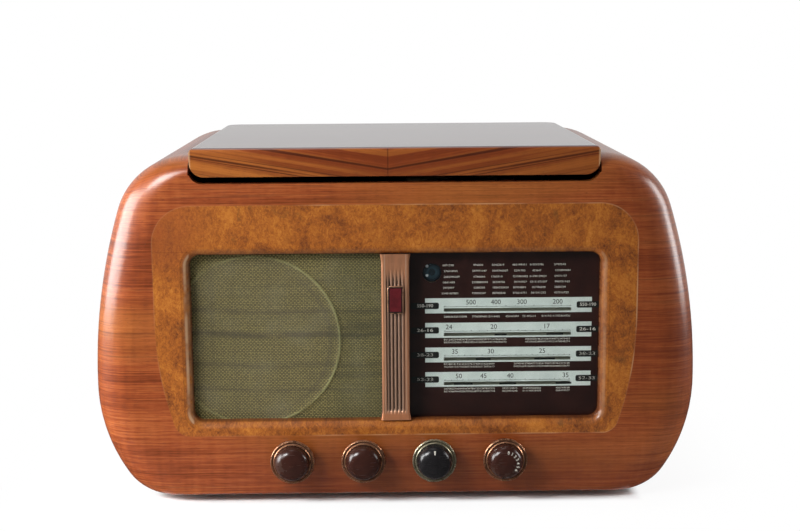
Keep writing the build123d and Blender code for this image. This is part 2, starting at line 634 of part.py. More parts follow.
# Fluted pillar with plain ends, and its blank badge
pillar_tall = WINDOW_HIGH - WINDOW_LOW
ridge = PILLAR_WIDTH / PILLAR_RIDGES
with BuildPart() as center_pillar:
    with BuildSketch(level(WINDOW_LOW, PILLAR_X, FRONT_THICKNESS)):
        with Locations((0, -(FRONT_THICKNESS - PILLAR_FRONT - ridge / 2) / 2)):
            Rectangle(PILLAR_WIDTH, FRONT_THICKNESS - PILLAR_FRONT - ridge / 2)
        with Locations((0, PILLAR_FRONT + ridge / 2 - FRONT_THICKNESS)):
            with GridLocations(ridge, 1, PILLAR_RIDGES, 1):
                Circle(ridge / 2)
    extrude(amount=pillar_tall)
    for low in (WINDOW_LOW, WINDOW_HIGH - PILLAR_END):
        block(PILLAR_X, PILLAR_FRONT - PILLAR_END_PROUD, low, PILLAR_WIDTH + 2 * PILLAR_END_PROUD,
              FRONT_THICKNESS - PILLAR_FRONT + PILLAR_END_PROUD, PILLAR_END)
center_pillar.part.label = "center_pillar"
export_step(center_pillar.part, "parts/center_pillar.step")

with BuildPart() as pillar_badge:
    with BuildSketch(facing(PILLAR_FRONT)):
        with Locations((PILLAR_X, up(BADGE_HEIGHT))):
            RectangleRounded(BADGE_WIDE, BADGE_TALL, BADGE_CORNER)
    extrude(amount=BADGE_THICKNESS)
    fillet(pillar_badge.faces().sort_by(Axis.Y)[0].edges(), radius=0.8)
pillar_badge.part.label = "pillar_badge"
export_step(pillar_badge.part, "parts/pillar_badge.step")

# Dial: glass against the back of the panel, and a scale tray behind it
with BuildPart() as dial_glass:
    block((GLASS_LEFT + GLASS_RIGHT) / 2, FRONT_THICKNESS, WINDOW_LOW - WINDOW_LAP, GLASS_RIGHT - GLASS_LEFT,
          GLASS_THICKNESS, WINDOW_HIGH - WINDOW_LOW + 2 * WINDOW_LAP)
dial_glass.part.label = "dial_glass"
export_step(dial_glass.part, "parts/dial_glass.step")

tray_depth = DIAL_PLATE_DEPTH + SHEET - FRONT_THICKNESS
with BuildPart() as dial_plate:
    block((DIAL_LEFT + DIAL_RIGHT) / 2, DIAL_PLATE_DEPTH, DIAL_LOW, DIAL_RIGHT - DIAL_LEFT, SHEET,
          DIAL_TOP - DIAL_LOW)
    block(DIAL_RIGHT - SHEET / 2, FRONT_THICKNESS, DIAL_LOW, SHEET, tray_depth, DIAL_TOP - DIAL_LOW)
    block((DIAL_LEFT + DIAL_RIGHT) / 2, FRONT_THICKNESS, DIAL_TOP - SHEET, DIAL_RIGHT - DIAL_LEFT,
          tray_depth, SHEET)
    with Locations((EYE_X, deep(DIAL_PLATE_DEPTH), up(EYE_HEIGHT))):
        Cylinder(EYE_RADIUS + RUNNING_GAP, 4 * SHEET, rotation=(90, 0, 0), mode=Mode.SUBTRACT)
dial_plate.part.label = "dial_plate"
export_step(dial_plate.part, "parts/dial_plate.step")

# Two scale lamps on the back of the tray
lamp_depth = DIAL_PLATE_DEPTH + SHEET
with BuildPart() as dial_lamps:
    for x in LAMP_XS:
        turned(((0, 0), (7, 0), (7, 2), (5, 2), (5, 10), (5.5, 14), (5.5, 18), (3, 21), (0, 22)),
               x, lamp_depth, LAMP_HEIGHT)
dial_lamps.part.label = "dial_lamps"
export_step(dial_lamps.part, "parts/dial_lamps.step")

# Tuning indicator valve: round face through the scale, body behind
with BuildPart() as tuning_eye:
    turned(((0, 0), (EYE_RADIUS, 0), (EYE_RADIUS, lamp_depth - EYE_FACE_DEPTH),
            (EYE_BODY_RADIUS, lamp_depth - EYE_FACE_DEPTH), (EYE_BODY_RADIUS, EYE_BODY_LENGTH),
            (EYE_BODY_RADIUS + 2, EYE_BODY_LENGTH + 2), (EYE_BODY_RADIUS + 2, EYE_BODY_LENGTH + EYE_BASE_LENGTH + 2),
            (0, EYE_BODY_LENGTH + EYE_BASE_LENGTH + 2)), EYE_X, EYE_FACE_DEPTH, EYE_HEIGHT)
tuning_eye.part.label = "tuning_eye"
export_step(tuning_eye.part, "parts/tuning_eye.step")

# Tuning drive: the cord's loop round the drum, the tuning shaft's bush and two pulleys
run_height = LEFT_PULLEY_HEIGHT + PULLEY_RADIUS
right_pulley_height = run_height + PULLEY_RADIUS
WHEELS = (
    (RIGHT_PULLEY_X, right_pulley_height, PULLEY_RADIUS, 1),
    (DRUM_X, DRUM_HEIGHT, DRUM_RADIUS, 1),
    (KNOB_XS[1], KNOB_HEIGHT, PULLEY_RADIUS, 1),
    (LEFT_PULLEY_X, LEFT_PULLEY_HEIGHT, PULLEY_RADIUS, -1),
)


def departure(wheel, after):
    """Direction, as an angle, in which a taut cord leaves one wheel for the next."""
    run_x = after[0] - wheel[0]
    run_z = after[1] - wheel[1]
    spread = after[3] * after[2] - wheel[3] * wheel[2]
    return atan2(run_z, run_x) - asin(spread / hypot(run_x, run_z))


def touching(wheel, heading):
    """Point where a cord of this heading touches a wheel; the wheel is on its left if it turns left."""
    return (wheel[0] + wheel[3] * wheel[2] * sin(heading), up(wheel[1]) - wheel[3] * wheel[2] * cos(heading))


with BuildPart() as dial_cord:
    with BuildLine(facing(CORD_DEPTH)) as cord_line:
        for place, wheel in enumerate(WHEELS):
            arriving = departure(WHEELS[place - 1], wheel)
            leaving = departure(wheel, WHEELS[(place + 1) % len(WHEELS)])
            turn = (leaving - arriving) * wheel[3] % (2 * pi)
            start = degrees(arriving) - 90 * wheel[3]
            CenterArc((wheel[0], up(wheel[1])), wheel[2], start, degrees(turn) * wheel[3])
            after = WHEELS[(place + 1) % len(WHEELS)]
            Line(touching(wheel, leaving), touching(after, leaving))
    section_place = cord_line.line.edges().sort_by(Axis.Z)[-1]
    with BuildSketch(Plane(origin=section_place @ 0, z_dir=section_place % 0)):
        Circle(CORD_RADIUS)
    sweep(path=cord_line.line)
dial_cord.part.label = "dial_cord"
export_step(dial_cord.part, "parts/dial_cord.step")
print("dial cord:", 2 * CORD_RADIUS, "mm thick, bent to radii of", sorted({wheel[2] for wheel in WHEELS}), "mm")


def grooved(radius, x, height, bore):
    """A grooved wheel for the cord, added to the part being built."""
    floor = radius - CORD_RADIUS - CORD_CLEARANCE
    rim = floor + FLANGE_RISE
    inner = GROOVE_WIDTH / 2
    outer = inner + FLANGE_WIDTH
    turned(((bore, -outer), (rim, -outer), (rim, -inner), (floor, -inner), (floor, inner),
            (rim, inner), (rim, outer), (bore, outer)), x, CORD_DEPTH, height)


wheel_front = CORD_DEPTH - GROOVE_WIDTH / 2 - FLANGE_WIDTH
wheel_back = CORD_DEPTH + GROOVE_WIDTH / 2 + FLANGE_WIDTH
with BuildPart() as left_pulley:
    grooved(PULLEY_RADIUS, LEFT_PULLEY_X, LEFT_PULLEY_HEIGHT, POST_RADIUS + SHAFT_CLEARANCE)
left_pulley.part.label = "left_pulley"
export_step(left_pulley.part, "parts/left_pulley.step")

with BuildPart() as right_pulley:
    grooved(PULLEY_RADIUS, RIGHT_PULLEY_X, right_pulley_height, POST_RADIUS + SHAFT_CLEARANCE)
right_pulley.part.label = "right_pulley"
export_step(right_pulley.part, "parts/right_pulley.step")

with BuildPart() as drive_drum:
    grooved(DRUM_RADIUS, DRUM_X, DRUM_HEIGHT, SHAFT_RADIUS)
    with BuildSketch(facing(wheel_front)):
        with Locations((DRUM_X, up(DRUM_HEIGHT))):
            with PolarLocations(DRUM_RADIUS * 0.58, DRUM_HOLES):
                Circle(DRUM_HOLE_RADIUS)
    extrude(amount=-(wheel_back - wheel_front), mode=Mode.SUBTRACT)
drive_drum.part.label = "drive_drum"
export_step(drive_drum.part, "parts/drive_drum.step")

# Pointer: a thin bar behind the glass, on a carriage that slides under the tray's edge
carriage_low = run_height + CORD_RADIUS + RUNNING_GAP
carriage_high = DIAL_LOW - RUNNING_GAP
with BuildPart() as pointer:
    block(POINTER_X, POINTER_FRONT, carriage_low, POINTER_WIDTH, POINTER_WIDTH, POINTER_TOP - carriage_low)
    block(POINTER_X, POINTER_FRONT, carriage_high - 2, CARRIAGE_WIDTH, CORD_DEPTH + 1.5 - POINTER_FRONT, 2)
    block(POINTER_X, CORD_DEPTH - 1.5, carriage_low, CARRIAGE_WIDTH, 3, carriage_high - carriage_low)
pointer.part.label = "pointer"
export_step(pointer.part, "parts/pointer.step")

# Chassis: a folded steel tray, with posts for the pulleys and holes for the control shafts
with BuildPart() as chassis:
    chassis_x = (CHASSIS_LEFT + CHASSIS_RIGHT) / 2
    chassis_wide = CHASSIS_RIGHT - CHASSIS_LEFT
    block(chassis_x, CHASSIS_FRONT, WALL, chassis_wide, CHASSIS_REAR - CHASSIS_FRONT, CHASSIS_HEIGHT - WALL)
    with Locations((chassis_x, deep(CHASSIS_FRONT + SHEET), up(0))):
        Box(chassis_wide - 2 * SHEET, CHASSIS_REAR - CHASSIS_FRONT - 2 * SHEET, CHASSIS_HEIGHT - SHEET,
            align=(Align.CENTER, Align.MIN, Align.MIN), mode=Mode.SUBTRACT)
    for x, height in ((LEFT_PULLEY_X, LEFT_PULLEY_HEIGHT), (RIGHT_PULLEY_X, right_pulley_height)):
        block(x, CHASSIS_FRONT, CHASSIS_HEIGHT - 12, LUG_WIDTH, SHEET, height - CHASSIS_HEIGHT + 22)
        turned(((0, 0), (POST_RADIUS, 0), (POST_RADIUS, wheel_back - wheel_front + 1.0),
                (POST_RADIUS + 2, wheel_back - wheel_front + 1.0), (POST_RADIUS + 2, CHASSIS_FRONT - wheel_front + 1),
                (0, CHASSIS_FRONT - wheel_front + 1)), x, wheel_front - 0.7, height)
    for x in KNOB_XS:
        hole = SHAFT_RADIUS + SHAFT_CLEARANCE
        with Locations((x, deep(CHASSIS_FRONT), up(KNOB_HEIGHT))):
            Cylinder(hole, 6 * SHEET, rotation=(90, 0, 0), mode=Mode.SUBTRACT)
chassis.part.label = "chassis"
export_step(chassis.part, "parts/chassis.step")

# Volume control, tone control and band switch, on the inside of the chassis front
control_depth = CHASSIS_FRONT + SHEET
with BuildPart() as control_bodies:
    for place in (0, 2, 3):
        bore = SHAFT_RADIUS + SHAFT_CLEARANCE
        turned(((bore, 0), (CONTROL_RADIUS, 0), (CONTROL_RADIUS, CONTROL_LENGTH), (0, CONTROL_LENGTH),
                (0, CONTROL_LENGTH - 2), (bore, CONTROL_LENGTH - 2)),
               KNOB_XS[place], control_depth, KNOB_HEIGHT)
control_bodies.part.label = "control_bodies"
export_step(control_bodies.part, "parts/control_bodies.step")

# Knobs: dark dome on a skirt, a metal ring round the dome's foot, and a steel shaft
control_end = control_depth + CONTROL_LENGTH - 2 - RUNNING_GAP
for name, x in zip(KNOB_NAMES, KNOB_XS):
    with BuildPart() as knob:
        origin = (x, deep(0), up(KNOB_HEIGHT))
        with BuildSketch(Plane(origin=origin, x_dir=(1, 0, 0), z_dir=(0, 0, 1))) as knob_profile:
            with BuildLine():
                Polyline((SHAFT_RADIUS, -SKIRT_BACK), (KNOB_SKIRT_RADIUS - 2, -SKIRT_BACK),
                         (KNOB_SKIRT_RADIUS, -RING_BACK), (KNOB_DOME_RADIUS, -RING_BACK),
                         (KNOB_DOME_RADIUS, CROWN_FALL - KNOB_REACH), (0, -KNOB_REACH), (0, -SHAFT_INTO_KNOB),
                         (SHAFT_RADIUS, -SHAFT_INTO_KNOB), close=True)
            make_face()
            fillet(knob_profile.vertices().sort_by_distance((KNOB_DOME_RADIUS, CROWN_FALL - KNOB_REACH))[0],
                   radius=DOME_CORNER)
        revolve(axis=Axis(origin, (0, 1, 0)))
    knob.part.label = f"{name}_knob"
    export_step(knob.part, f"parts/{name}_knob.step")

    with BuildPart() as ring:
        turned(((KNOB_DOME_RADIUS, 0), (KNOB_RING_RADIUS - 1, 0), (KNOB_RING_RADIUS, -1), (KNOB_RING_RADIUS, -2.6),
                (KNOB_RING_RADIUS - 1.6, -RING_DEPTH + 0.4), (KNOB_DOME_RADIUS + 1.2, -RING_DEPTH),
                (KNOB_DOME_RADIUS, -RING_DEPTH + 0.6)), x, -RING_BACK, KNOB_HEIGHT)
    ring.part.label = f"{name}_ring"
    export_step(ring.part, f"parts/{name}_ring.step")

    with BuildPart() as shaft:
        end = control_end + SHAFT_INTO_KNOB
        turned(((0, 0), (SHAFT_RADIUS, 0), (SHAFT_RADIUS, end), (0, end)), x, -SHAFT_INTO_KNOB, KNOB_HEIGHT)
        if name == "tuning":
            grooved(PULLEY_RADIUS, x, KNOB_HEIGHT, SHAFT_RADIUS)
    shaft.part.label = f"{name}_shaft"
    export_step(shaft.part, f"parts/{name}_shaft.step")

# Tuning capacitor: end plates and fixed vanes on the chassis; the rotor with its vanes turns in them
stator_low = DRUM_HEIGHT - VANE_RADIUS - 4
with BuildPart() as tuning_capacitor:
    for depth in (GANG_FRONT, GANG_FRONT + GANG_LENGTH - SHEET):
        block(DRUM_X, depth, CHASSIS_HEIGHT, GANG_WIDTH, SHEET, GANG_TOP - CHASSIS_HEIGHT)
    for x in (-1, 1):
        block(DRUM_X + x * (GANG_WIDTH / 2 - 1), GANG_FRONT, stator_low - 8, 2, GANG_LENGTH, 34)
    for place in range(VANE_COUNT + 1):
        block(DRUM_X, GANG_FRONT + 10 + VANE_PITCH * (place - 0.5) - VANE_THICKNESS / 2, stator_low,
              GANG_WIDTH - 4, VANE_THICKNESS, VANE_RADIUS)
    with Locations((DRUM_X, deep(GANG_FRONT + GANG_LENGTH / 2), up(DRUM_HEIGHT))):
        Cylinder(SHAFT_RADIUS + SHAFT_CLEARANCE, 2 * GANG_LENGTH, rotation=(90, 0, 0), mode=Mode.SUBTRACT)
tuning_capacitor.part.label = "tuning_capacitor"
export_step(tuning_capacitor.part, "parts/tuning_capacitor.step")

with BuildPart() as tuning_rotor:
    rotor_front = wheel_front - 2
    rotor_end = GANG_FRONT + GANG_LENGTH + 4 - rotor_front
    turned(((0, 0), (SHAFT_RADIUS, 0), (SHAFT_RADIUS, rotor_end), (0, rotor_end)), DRUM_X, rotor_front, DRUM_HEIGHT)
    for place in range(VANE_COUNT):
        with BuildSketch(facing(GANG_FRONT + 10 + VANE_PITCH * place - VANE_THICKNESS / 2)):
            with Locations((DRUM_X, up(DRUM_HEIGHT))):
                Circle(VANE_RADIUS)
                with Locations((0, -VANE_RADIUS)):
                    Rectangle(2 * VANE_RADIUS, 2 * VANE_RADIUS, mode=Mode.SUBTRACT)
                Circle(SHAFT_RADIUS + 3)
        extrude(amount=-VANE_THICKNESS)
tuning_rotor.part.label = "tuning_rotor"
export_step(tuning_rotor.part, "parts/tuning_rotor.step")

# Transformers: mains transformer at the back left of the chassis, output transformer in front of it
with BuildPart() as transformers:
    for front, core, coil in (
        (MAINS_CORE_FRONT, MAINS_CORE, MAINS_COIL),
        (OUTPUT_CORE_FRONT, OUTPUT_CORE, OUTPUT_COIL),
    ):
        block(TRANSFORMER_X, front, CHASSIS_HEIGHT, *core)
        block(TRANSFORMER_X, front + (core[1] - coil[1]) / 2, CHASSIS_HEIGHT + COIL_RISE, *coil)
transformers.part.label = "transformers"
export_step(transformers.part, "parts/transformers.step")

# Valves: five glass bulbs on their bases
with BuildPart() as valves:
    for x, depth, radius, tall in VALVE_PLACES:
        turned(((0, 0), (radius - 1, 0), (radius - 1, 16), (radius, 24), (radius, tall - 14),
                (radius - 4, tall - 6), (radius / 3, tall), (0, tall)), x, depth, CHASSIS_HEIGHT, upright=True)
valves.part.label = "valves"
export_step(valves.part, "parts/valves.step")

# Aluminium cans: two intermediate-frequency transformers and the smoothing capacitor
with BuildPart() as chassis_cans:
    for x, depth in CAN_PLACES:
        block(x, depth - CAN_SIDE / 2, CHASSIS_HEIGHT, CAN_SIDE, CAN_SIDE, CAN_HEIGHT)
    turned(((0, 0), (SMOOTHER_RADIUS, 0), (SMOOTHER_RADIUS, SMOOTHER_HEIGHT - 2),
            (SMOOTHER_RADIUS - 2, SMOOTHER_HEIGHT), (0, SMOOTHER_HEIGHT)),
           SMOOTHER_PLACE[0], SMOOTHER_PLACE[1], CHASSIS_HEIGHT, upright=True)
chassis_cans.part.label = "chassis_cans"
export_step(chassis_cans.part, "parts/chassis_cans.step")

# Sockets on the rear of the chassis: four single ones in a row, and the mains inlet with two pins
inlet_length = COVER_DEPTH + COVER_THICKNESS - CHASSIS_REAR
with BuildPart() as lead_sockets:
    for place in range(SOCKET_COUNT):
        x = SOCKET_X + SOCKET_PITCH * (place - (SOCKET_COUNT - 1) / 2)
        block(x, CHASSIS_REAR, SOCKET_HEIGHT - SOCKET_TALL / 2, SOCKET_PITCH - SOCKET_GAP, SOCKET_LENGTH,
              SOCKET_TALL)
        with Locations((x, deep(CHASSIS_REAR + SOCKET_LENGTH), up(SOCKET_HEIGHT))):
            Cylinder(SOCKET_HOLE_RADIUS, 2 * SOCKET_HOLE_DEPTH, rotation=(90, 0, 0), mode=Mode.SUBTRACT)
lead_sockets.part.label = "lead_sockets"
export_step(lead_sockets.part, "parts/lead_sockets.step")

with BuildPart() as mains_inlet:
    block(INLET_X, CHASSIS_REAR, SOCKET_HEIGHT - INLET_SIZE / 2, INLET_SIZE, inlet_length, INLET_SIZE)
    with Locations((INLET_X, deep(CHASSIS_REAR + inlet_length), up(SOCKET_HEIGHT))):
        Box(INLET_SIZE - 2 * INLET_WALL, 2 * INLET_HOLLOW, INLET_SIZE - 2 * INLET_WALL, mode=Mode.SUBTRACT)
        with GridLocations(PIN_PITCH, 1, 2, 1):
            Cylinder(PIN_RADIUS, 2 * PIN_LENGTH, rotation=(90, 0, 0))
    with Locations((INLET_X, deep(CHASSIS_REAR + inlet_length), up(SOCKET_HEIGHT))):
        Box(INLET_SIZE, 2 * PIN_LENGTH, INLET_SIZE,
            align=(Align.CENTER, Align.MIN, Align.CENTER), mode=Mode.SUBTRACT)
mains_inlet.part.label = "mains_inlet"
export_step(mains_inlet.part, "parts/mains_inlet.step")

# Motor under the deck board, with a boss through it for the roller's shaft
roller_high = PLATTER_TOP - PLATTER_SKIN - 1.0
deck_under = DECK_TOP - DECK_THICKNESS
bore = ROLLER_SHAFT_RADIUS + SHAFT_CLEARANCE
with BuildPart() as motor:
    turned(((0, -MOTOR_LENGTH), (MOTOR_RADIUS - 3, -MOTOR_LENGTH), (MOTOR_RADIUS, -MOTOR_LENGTH + 3),
            (MOTOR_RADIUS, -2), (MOTOR_RADIUS + MOTOR_FLANGE, -2), (MOTOR_RADIUS + MOTOR_FLANGE, 0),
            (BOSS_RADIUS, 0),
            (BOSS_RADIUS, DECK_THICKNESS + 1), (bore, DECK_THICKNESS + 1), (bore, -ROLLER_SHAFT_DROP - 1),
            (0, -ROLLER_SHAFT_DROP - 1)),
           roller_x, roller_depth, deck_under, upright=True)
motor.part.label = "motor"
export_step(motor.part, "parts/motor.step")

shaft_end = deck_under - ROLLER_SHAFT_DROP - ROLLER_LOW
with BuildPart() as drive_roller:
    turned(((0, shaft_end), (ROLLER_SHAFT_RADIUS, shaft_end), (ROLLER_SHAFT_RADIUS, 0), (ROLLER_RADIUS, 0),
            (ROLLER_RADIUS, roller_high - ROLLER_LOW), (0, roller_high - ROLLER_LOW)),
           roller_x, roller_depth, ROLLER_LOW, upright=True)
drive_roller.part.label = "drive_roller"
export_step(drive_roller.part, "parts/drive_roller.step")

# Turntable: spindle on the deck, platter with a turned-down rim, and its mat
hub_seat = HUB_LOW - RUNNING_GAP - DECK_TOP
bearing_top = PLATTER_TOP + MAT_THICKNESS - 0.2 - DECK_TOP
pin_top = bearing_top + SPINDLE_LENGTH
with BuildPart() as turntable_spindle:
    turned(((0, 0), (SPINDLE_FOOT_RADIUS, 0), (SPINDLE_FOOT_RADIUS, 3), (BEARING_RADIUS + 4, 3),
            (BEARING_RADIUS + 4, hub_seat), (BEARING_RADIUS, hub_seat), (BEARING_RADIUS, bearing_top),
            (SPINDLE_RADIUS, bearing_top), (SPINDLE_RADIUS, pin_top), (SPINDLE_RADIUS - 1.6, pin_top + SPINDLE_TIP),
            (0, pin_top + SPINDLE_TIP)), PLATTER_X, PLATTER_DEPTH, DECK_TOP, upright=True)
turntable_spindle.part.label = "turntable_spindle"
export_step(turntable_spindle.part, "parts/turntable_spindle.step")

platter_bore = BEARING_RADIUS + SHAFT_CLEARANCE
with BuildPart() as platter:
    turned(((platter_bore, HUB_LOW - PLATTER_TOP), (HUB_RADIUS, HUB_LOW - PLATTER_TOP), (HUB_RADIUS, -PLATTER_SKIN),
            (PLATTER_RADIUS - PLATTER_RIM, -PLATTER_SKIN), (PLATTER_RADIUS - PLATTER_RIM, RIM_LOW - PLATTER_TOP),
            (PLATTER_RADIUS, RIM_LOW - PLATTER_TOP), (PLATTER_RADIUS, -1.5), (PLATTER_RADIUS - 1.5, 0),
            (platter_bore, 0)), PLATTER_X, PLATTER_DEPTH, PLATTER_TOP, upright=True)
platter.part.label = "platter"
export_step(platter.part, "parts/platter.step")

with BuildPart() as platter_mat:
    turned(((platter_bore, 0), (MAT_RADIUS, 0), (MAT_RADIUS, MAT_THICKNESS), (platter_bore, MAT_THICKNESS)),
           PLATTER_X, PLATTER_DEPTH, PLATTER_TOP, upright=True)
platter_mat.part.label = "platter_mat"
export_step(platter_mat.part, "parts/platter_mat.step")

# Pickup arm: pedestal, yoke that swings on it, arm that lifts in the yoke, and the head
yoke_bore = YOKE_PIN_RADIUS + SHAFT_CLEARANCE
aim_x = ARM_REST_AIM[0] - ARM_X
aim_y = ARM_REST_AIM[1] - ARM_DEPTH
reach = hypot(aim_x, aim_y)
along_arm = (aim_x / reach, aim_y / reach, 0)
across_arm = (along_arm[1], -along_arm[0], 0)
pivot_plane = Plane(origin=(ARM_X, deep(ARM_DEPTH), up(ARM_PIVOT_HEIGHT)), x_dir=along_arm, z_dir=across_arm)
with BuildPart() as arm_pedestal:
    turned(((0, 0), (PEDESTAL_FOOT_RADIUS, 0), (PEDESTAL_FOOT_RADIUS, 3), (YOKE_RADIUS + 2, 5), (YOKE_RADIUS, 8),
            (YOKE_RADIUS, PEDESTAL_TOP - DECK_TOP), (yoke_bore, PEDESTAL_TOP - DECK_TOP), (yoke_bore, 7), (0, 7)),
           ARM_X, ARM_DEPTH, DECK_TOP, upright=True)
arm_pedestal.part.label = "arm_pedestal"
export_step(arm_pedestal.part, "parts/arm_pedestal.step")

with BuildPart() as arm_yoke:
    low = PEDESTAL_TOP + RUNNING_GAP
    turned(((0, -YOKE_PIN_LENGTH), (YOKE_PIN_RADIUS, -YOKE_PIN_LENGTH), (YOKE_PIN_RADIUS, 0), (YOKE_RADIUS, 0),
            (YOKE_RADIUS, YOKE_TOP - low), (0, YOKE_TOP - low)), ARM_X, ARM_DEPTH, low, upright=True)
    for side in (-1, 1):
        with BuildSketch(pivot_plane.offset(side * (ARM_HALF_WIDTH + RUNNING_GAP + CHEEK / 2))):
            with Locations((0, -(ARM_PIVOT_HEIGHT - YOKE_TOP) / 2)):
                Rectangle(2 * CHEEK_RADIUS, ARM_PIVOT_HEIGHT - YOKE_TOP + 1)
            Circle(CHEEK_RADIUS)
        extrude(amount=CHEEK / 2, both=True)
    with BuildSketch(pivot_plane):
        Circle(ARM_PIN_RADIUS)
    extrude(amount=ARM_HALF_WIDTH + RUNNING_GAP + CHEEK, both=True)
arm_yoke.part.label = "arm_yoke"
export_step(arm_yoke.part, "parts/arm_yoke.step")

with BuildPart() as pickup_arm:
    with BuildSketch(level(ARM_LOW, ARM_X, ARM_DEPTH, along_arm)):
        with BuildLine():
            Polyline((-ARM_TAIL, -ARM_HALF_WIDTH), (ARM_TAPER_FROM, -ARM_HALF_WIDTH),
                     (ARM_TUBE_END, -ARM_TIP_HALF_WIDTH), (ARM_TUBE_END, ARM_TIP_HALF_WIDTH),
                     (ARM_TAPER_FROM, ARM_HALF_WIDTH), (-ARM_TAIL, ARM_HALF_WIDTH), close=True)
        make_face()
    extrude(amount=ARM_THICKNESS)
    fillet(pickup_arm.faces().sort_by(Axis.Z)[-1].edges(), radius=3)
    with BuildSketch(pivot_plane):
        Circle(ARM_PIN_RADIUS + SHAFT_CLEARANCE)
    extrude(amount=2 * ARM_HALF_WIDTH, both=True, mode=Mode.SUBTRACT)
pickup_arm.part.label = "pickup_arm"
export_step(pickup_arm.part, "parts/pickup_arm.step")

with BuildPart() as pickup_head:
    with BuildSketch(level(HEAD_LOW, ARM_X, ARM_DEPTH, along_arm)):
        with Locations(((HEAD_START + HEAD_END) / 2, 0)):
            RectangleRounded(HEAD_END - HEAD_START, HEAD_WIDTH, HEAD_CORNER)
    extrude(amount=HEAD_HIGH - HEAD_LOW)
    fillet(pickup_head.faces().sort_by(Axis.Z)[-1].edges(), radius=3)
    with BuildSketch(level(ARM_LOW, ARM_X, ARM_DEPTH, along_arm)):
        with Locations((ARM_TUBE_END / 2, 0)):
            Rectangle(ARM_TUBE_END, 2 * ARM_HALF_WIDTH)
    extrude(amount=ARM_THICKNESS, mode=Mode.SUBTRACT)
pickup_head.part.label = "pickup_head"
export_step(pickup_head.part, "parts/pickup_head.step")

# Arm rest: a post beside the platter with a lip on its outer side
rest_turn = atan2(aim_y, aim_x) + radians(ARM_SWING_OUT)
rest_along = (cos(rest_turn), sin(rest_turn), 0)
rest_plane = level(DECK_TOP, ARM_X, ARM_DEPTH, rest_along)
with BuildPart() as arm_rest:
    with BuildSketch(rest_plane):
        with Locations((ARM_REST_REACH, 0)):
            Circle(REST_POST_RADIUS)
    extrude(amount=REST_TOP - DECK_TOP)
    with BuildSketch(rest_plane):
        with Locations((ARM_REST_REACH, 0)):
            Circle(REST_FOOT_RADIUS)
    extrude(amount=2)
    with BuildSketch(rest_plane.offset(REST_TOP - DECK_TOP - REST_THICKNESS)):
        with Locations((ARM_REST_REACH, (REST_LIP + 1) / 2)):
            Rectangle(REST_LENGTH, 2 * ARM_HALF_WIDTH + REST_LIP + 1)
    extrude(amount=REST_THICKNESS)
    with BuildSketch(rest_plane.offset(REST_TOP - DECK_TOP - REST_THICKNESS)):
        with Locations((ARM_REST_REACH, ARM_HALF_WIDTH + REST_LIP / 2 + 1)):
            Rectangle(REST_LENGTH, REST_LIP)
    extrude(amount=REST_THICKNESS + REST_LIP_HEIGHT)
arm_rest.part.label = "arm_rest"
export_step(arm_rest.part, "parts/arm_rest.step")

# Stop lever on the deck
with BuildPart() as stop_lever:
    turned(((0, -DECK_THICKNESS), (LEVER_PIN_RADIUS, -DECK_THICKNESS), (LEVER_PIN_RADIUS, RUNNING_GAP),
            (STOP_HUB_RADIUS, RUNNING_GAP), (STOP_HUB_RADIUS, 4), (0, 5)),
           STOP_X, STOP_DEPTH, DECK_TOP, upright=True)
    block(STOP_X, STOP_DEPTH - STOP_LENGTH, DECK_TOP + 1, STOP_WIDTH, STOP_LENGTH, 2.5)
    turned(((0, 1), (6, 1), (6, 8), (4.5, 10), (0, 10.5)), STOP_X, STOP_DEPTH - STOP_LENGTH, DECK_TOP, upright=True)
stop_lever.part.label = "stop_lever"
export_step(stop_lever.part, "parts/stop_lever.step")
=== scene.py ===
import random
from math import cos, exp, hypot, pi, radians, sin, sqrt
import bmesh
import bpy
from mathutils import Matrix, Vector


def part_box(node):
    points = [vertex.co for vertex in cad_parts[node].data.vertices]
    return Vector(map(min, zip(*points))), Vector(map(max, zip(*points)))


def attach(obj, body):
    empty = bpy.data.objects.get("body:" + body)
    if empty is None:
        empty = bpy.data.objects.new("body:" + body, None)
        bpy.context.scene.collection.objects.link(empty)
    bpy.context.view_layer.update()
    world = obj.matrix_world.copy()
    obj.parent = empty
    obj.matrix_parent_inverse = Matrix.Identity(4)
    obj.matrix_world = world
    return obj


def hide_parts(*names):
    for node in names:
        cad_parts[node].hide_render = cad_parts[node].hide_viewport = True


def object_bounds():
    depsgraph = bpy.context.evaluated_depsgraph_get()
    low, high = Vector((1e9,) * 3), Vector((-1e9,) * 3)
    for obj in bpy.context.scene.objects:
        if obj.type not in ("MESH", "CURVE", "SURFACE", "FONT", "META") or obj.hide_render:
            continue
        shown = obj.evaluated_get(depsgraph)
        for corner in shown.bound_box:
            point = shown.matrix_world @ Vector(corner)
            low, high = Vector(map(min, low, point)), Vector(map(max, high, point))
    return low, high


# The looks of a wooden table radio with a record deck under its lid. Lengths are in metres unless a
# name says otherwise, in the row's frame: the dial faces -Y and the floor is at Z 0.

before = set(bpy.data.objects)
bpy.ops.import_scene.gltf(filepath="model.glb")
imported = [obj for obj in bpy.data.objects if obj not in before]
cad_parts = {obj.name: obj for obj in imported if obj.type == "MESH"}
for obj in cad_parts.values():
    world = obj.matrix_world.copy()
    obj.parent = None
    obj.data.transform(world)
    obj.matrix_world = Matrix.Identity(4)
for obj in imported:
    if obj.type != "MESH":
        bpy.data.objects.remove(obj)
cad_low, cad_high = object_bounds()
MM = 0.001

# Places taken from the frame
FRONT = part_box("front_panel")[0].y
GLASS_LOW, GLASS_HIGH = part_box("dial_glass")
CLOTH_LOW, CLOTH_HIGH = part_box("grille_cloth")
PILLAR_LOW, PILLAR_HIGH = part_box("center_pillar")
EYE_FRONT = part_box("tuning_eye")[0].y
LID_LOW, LID_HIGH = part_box("lid")
FLOOR_Z = cad_low.z

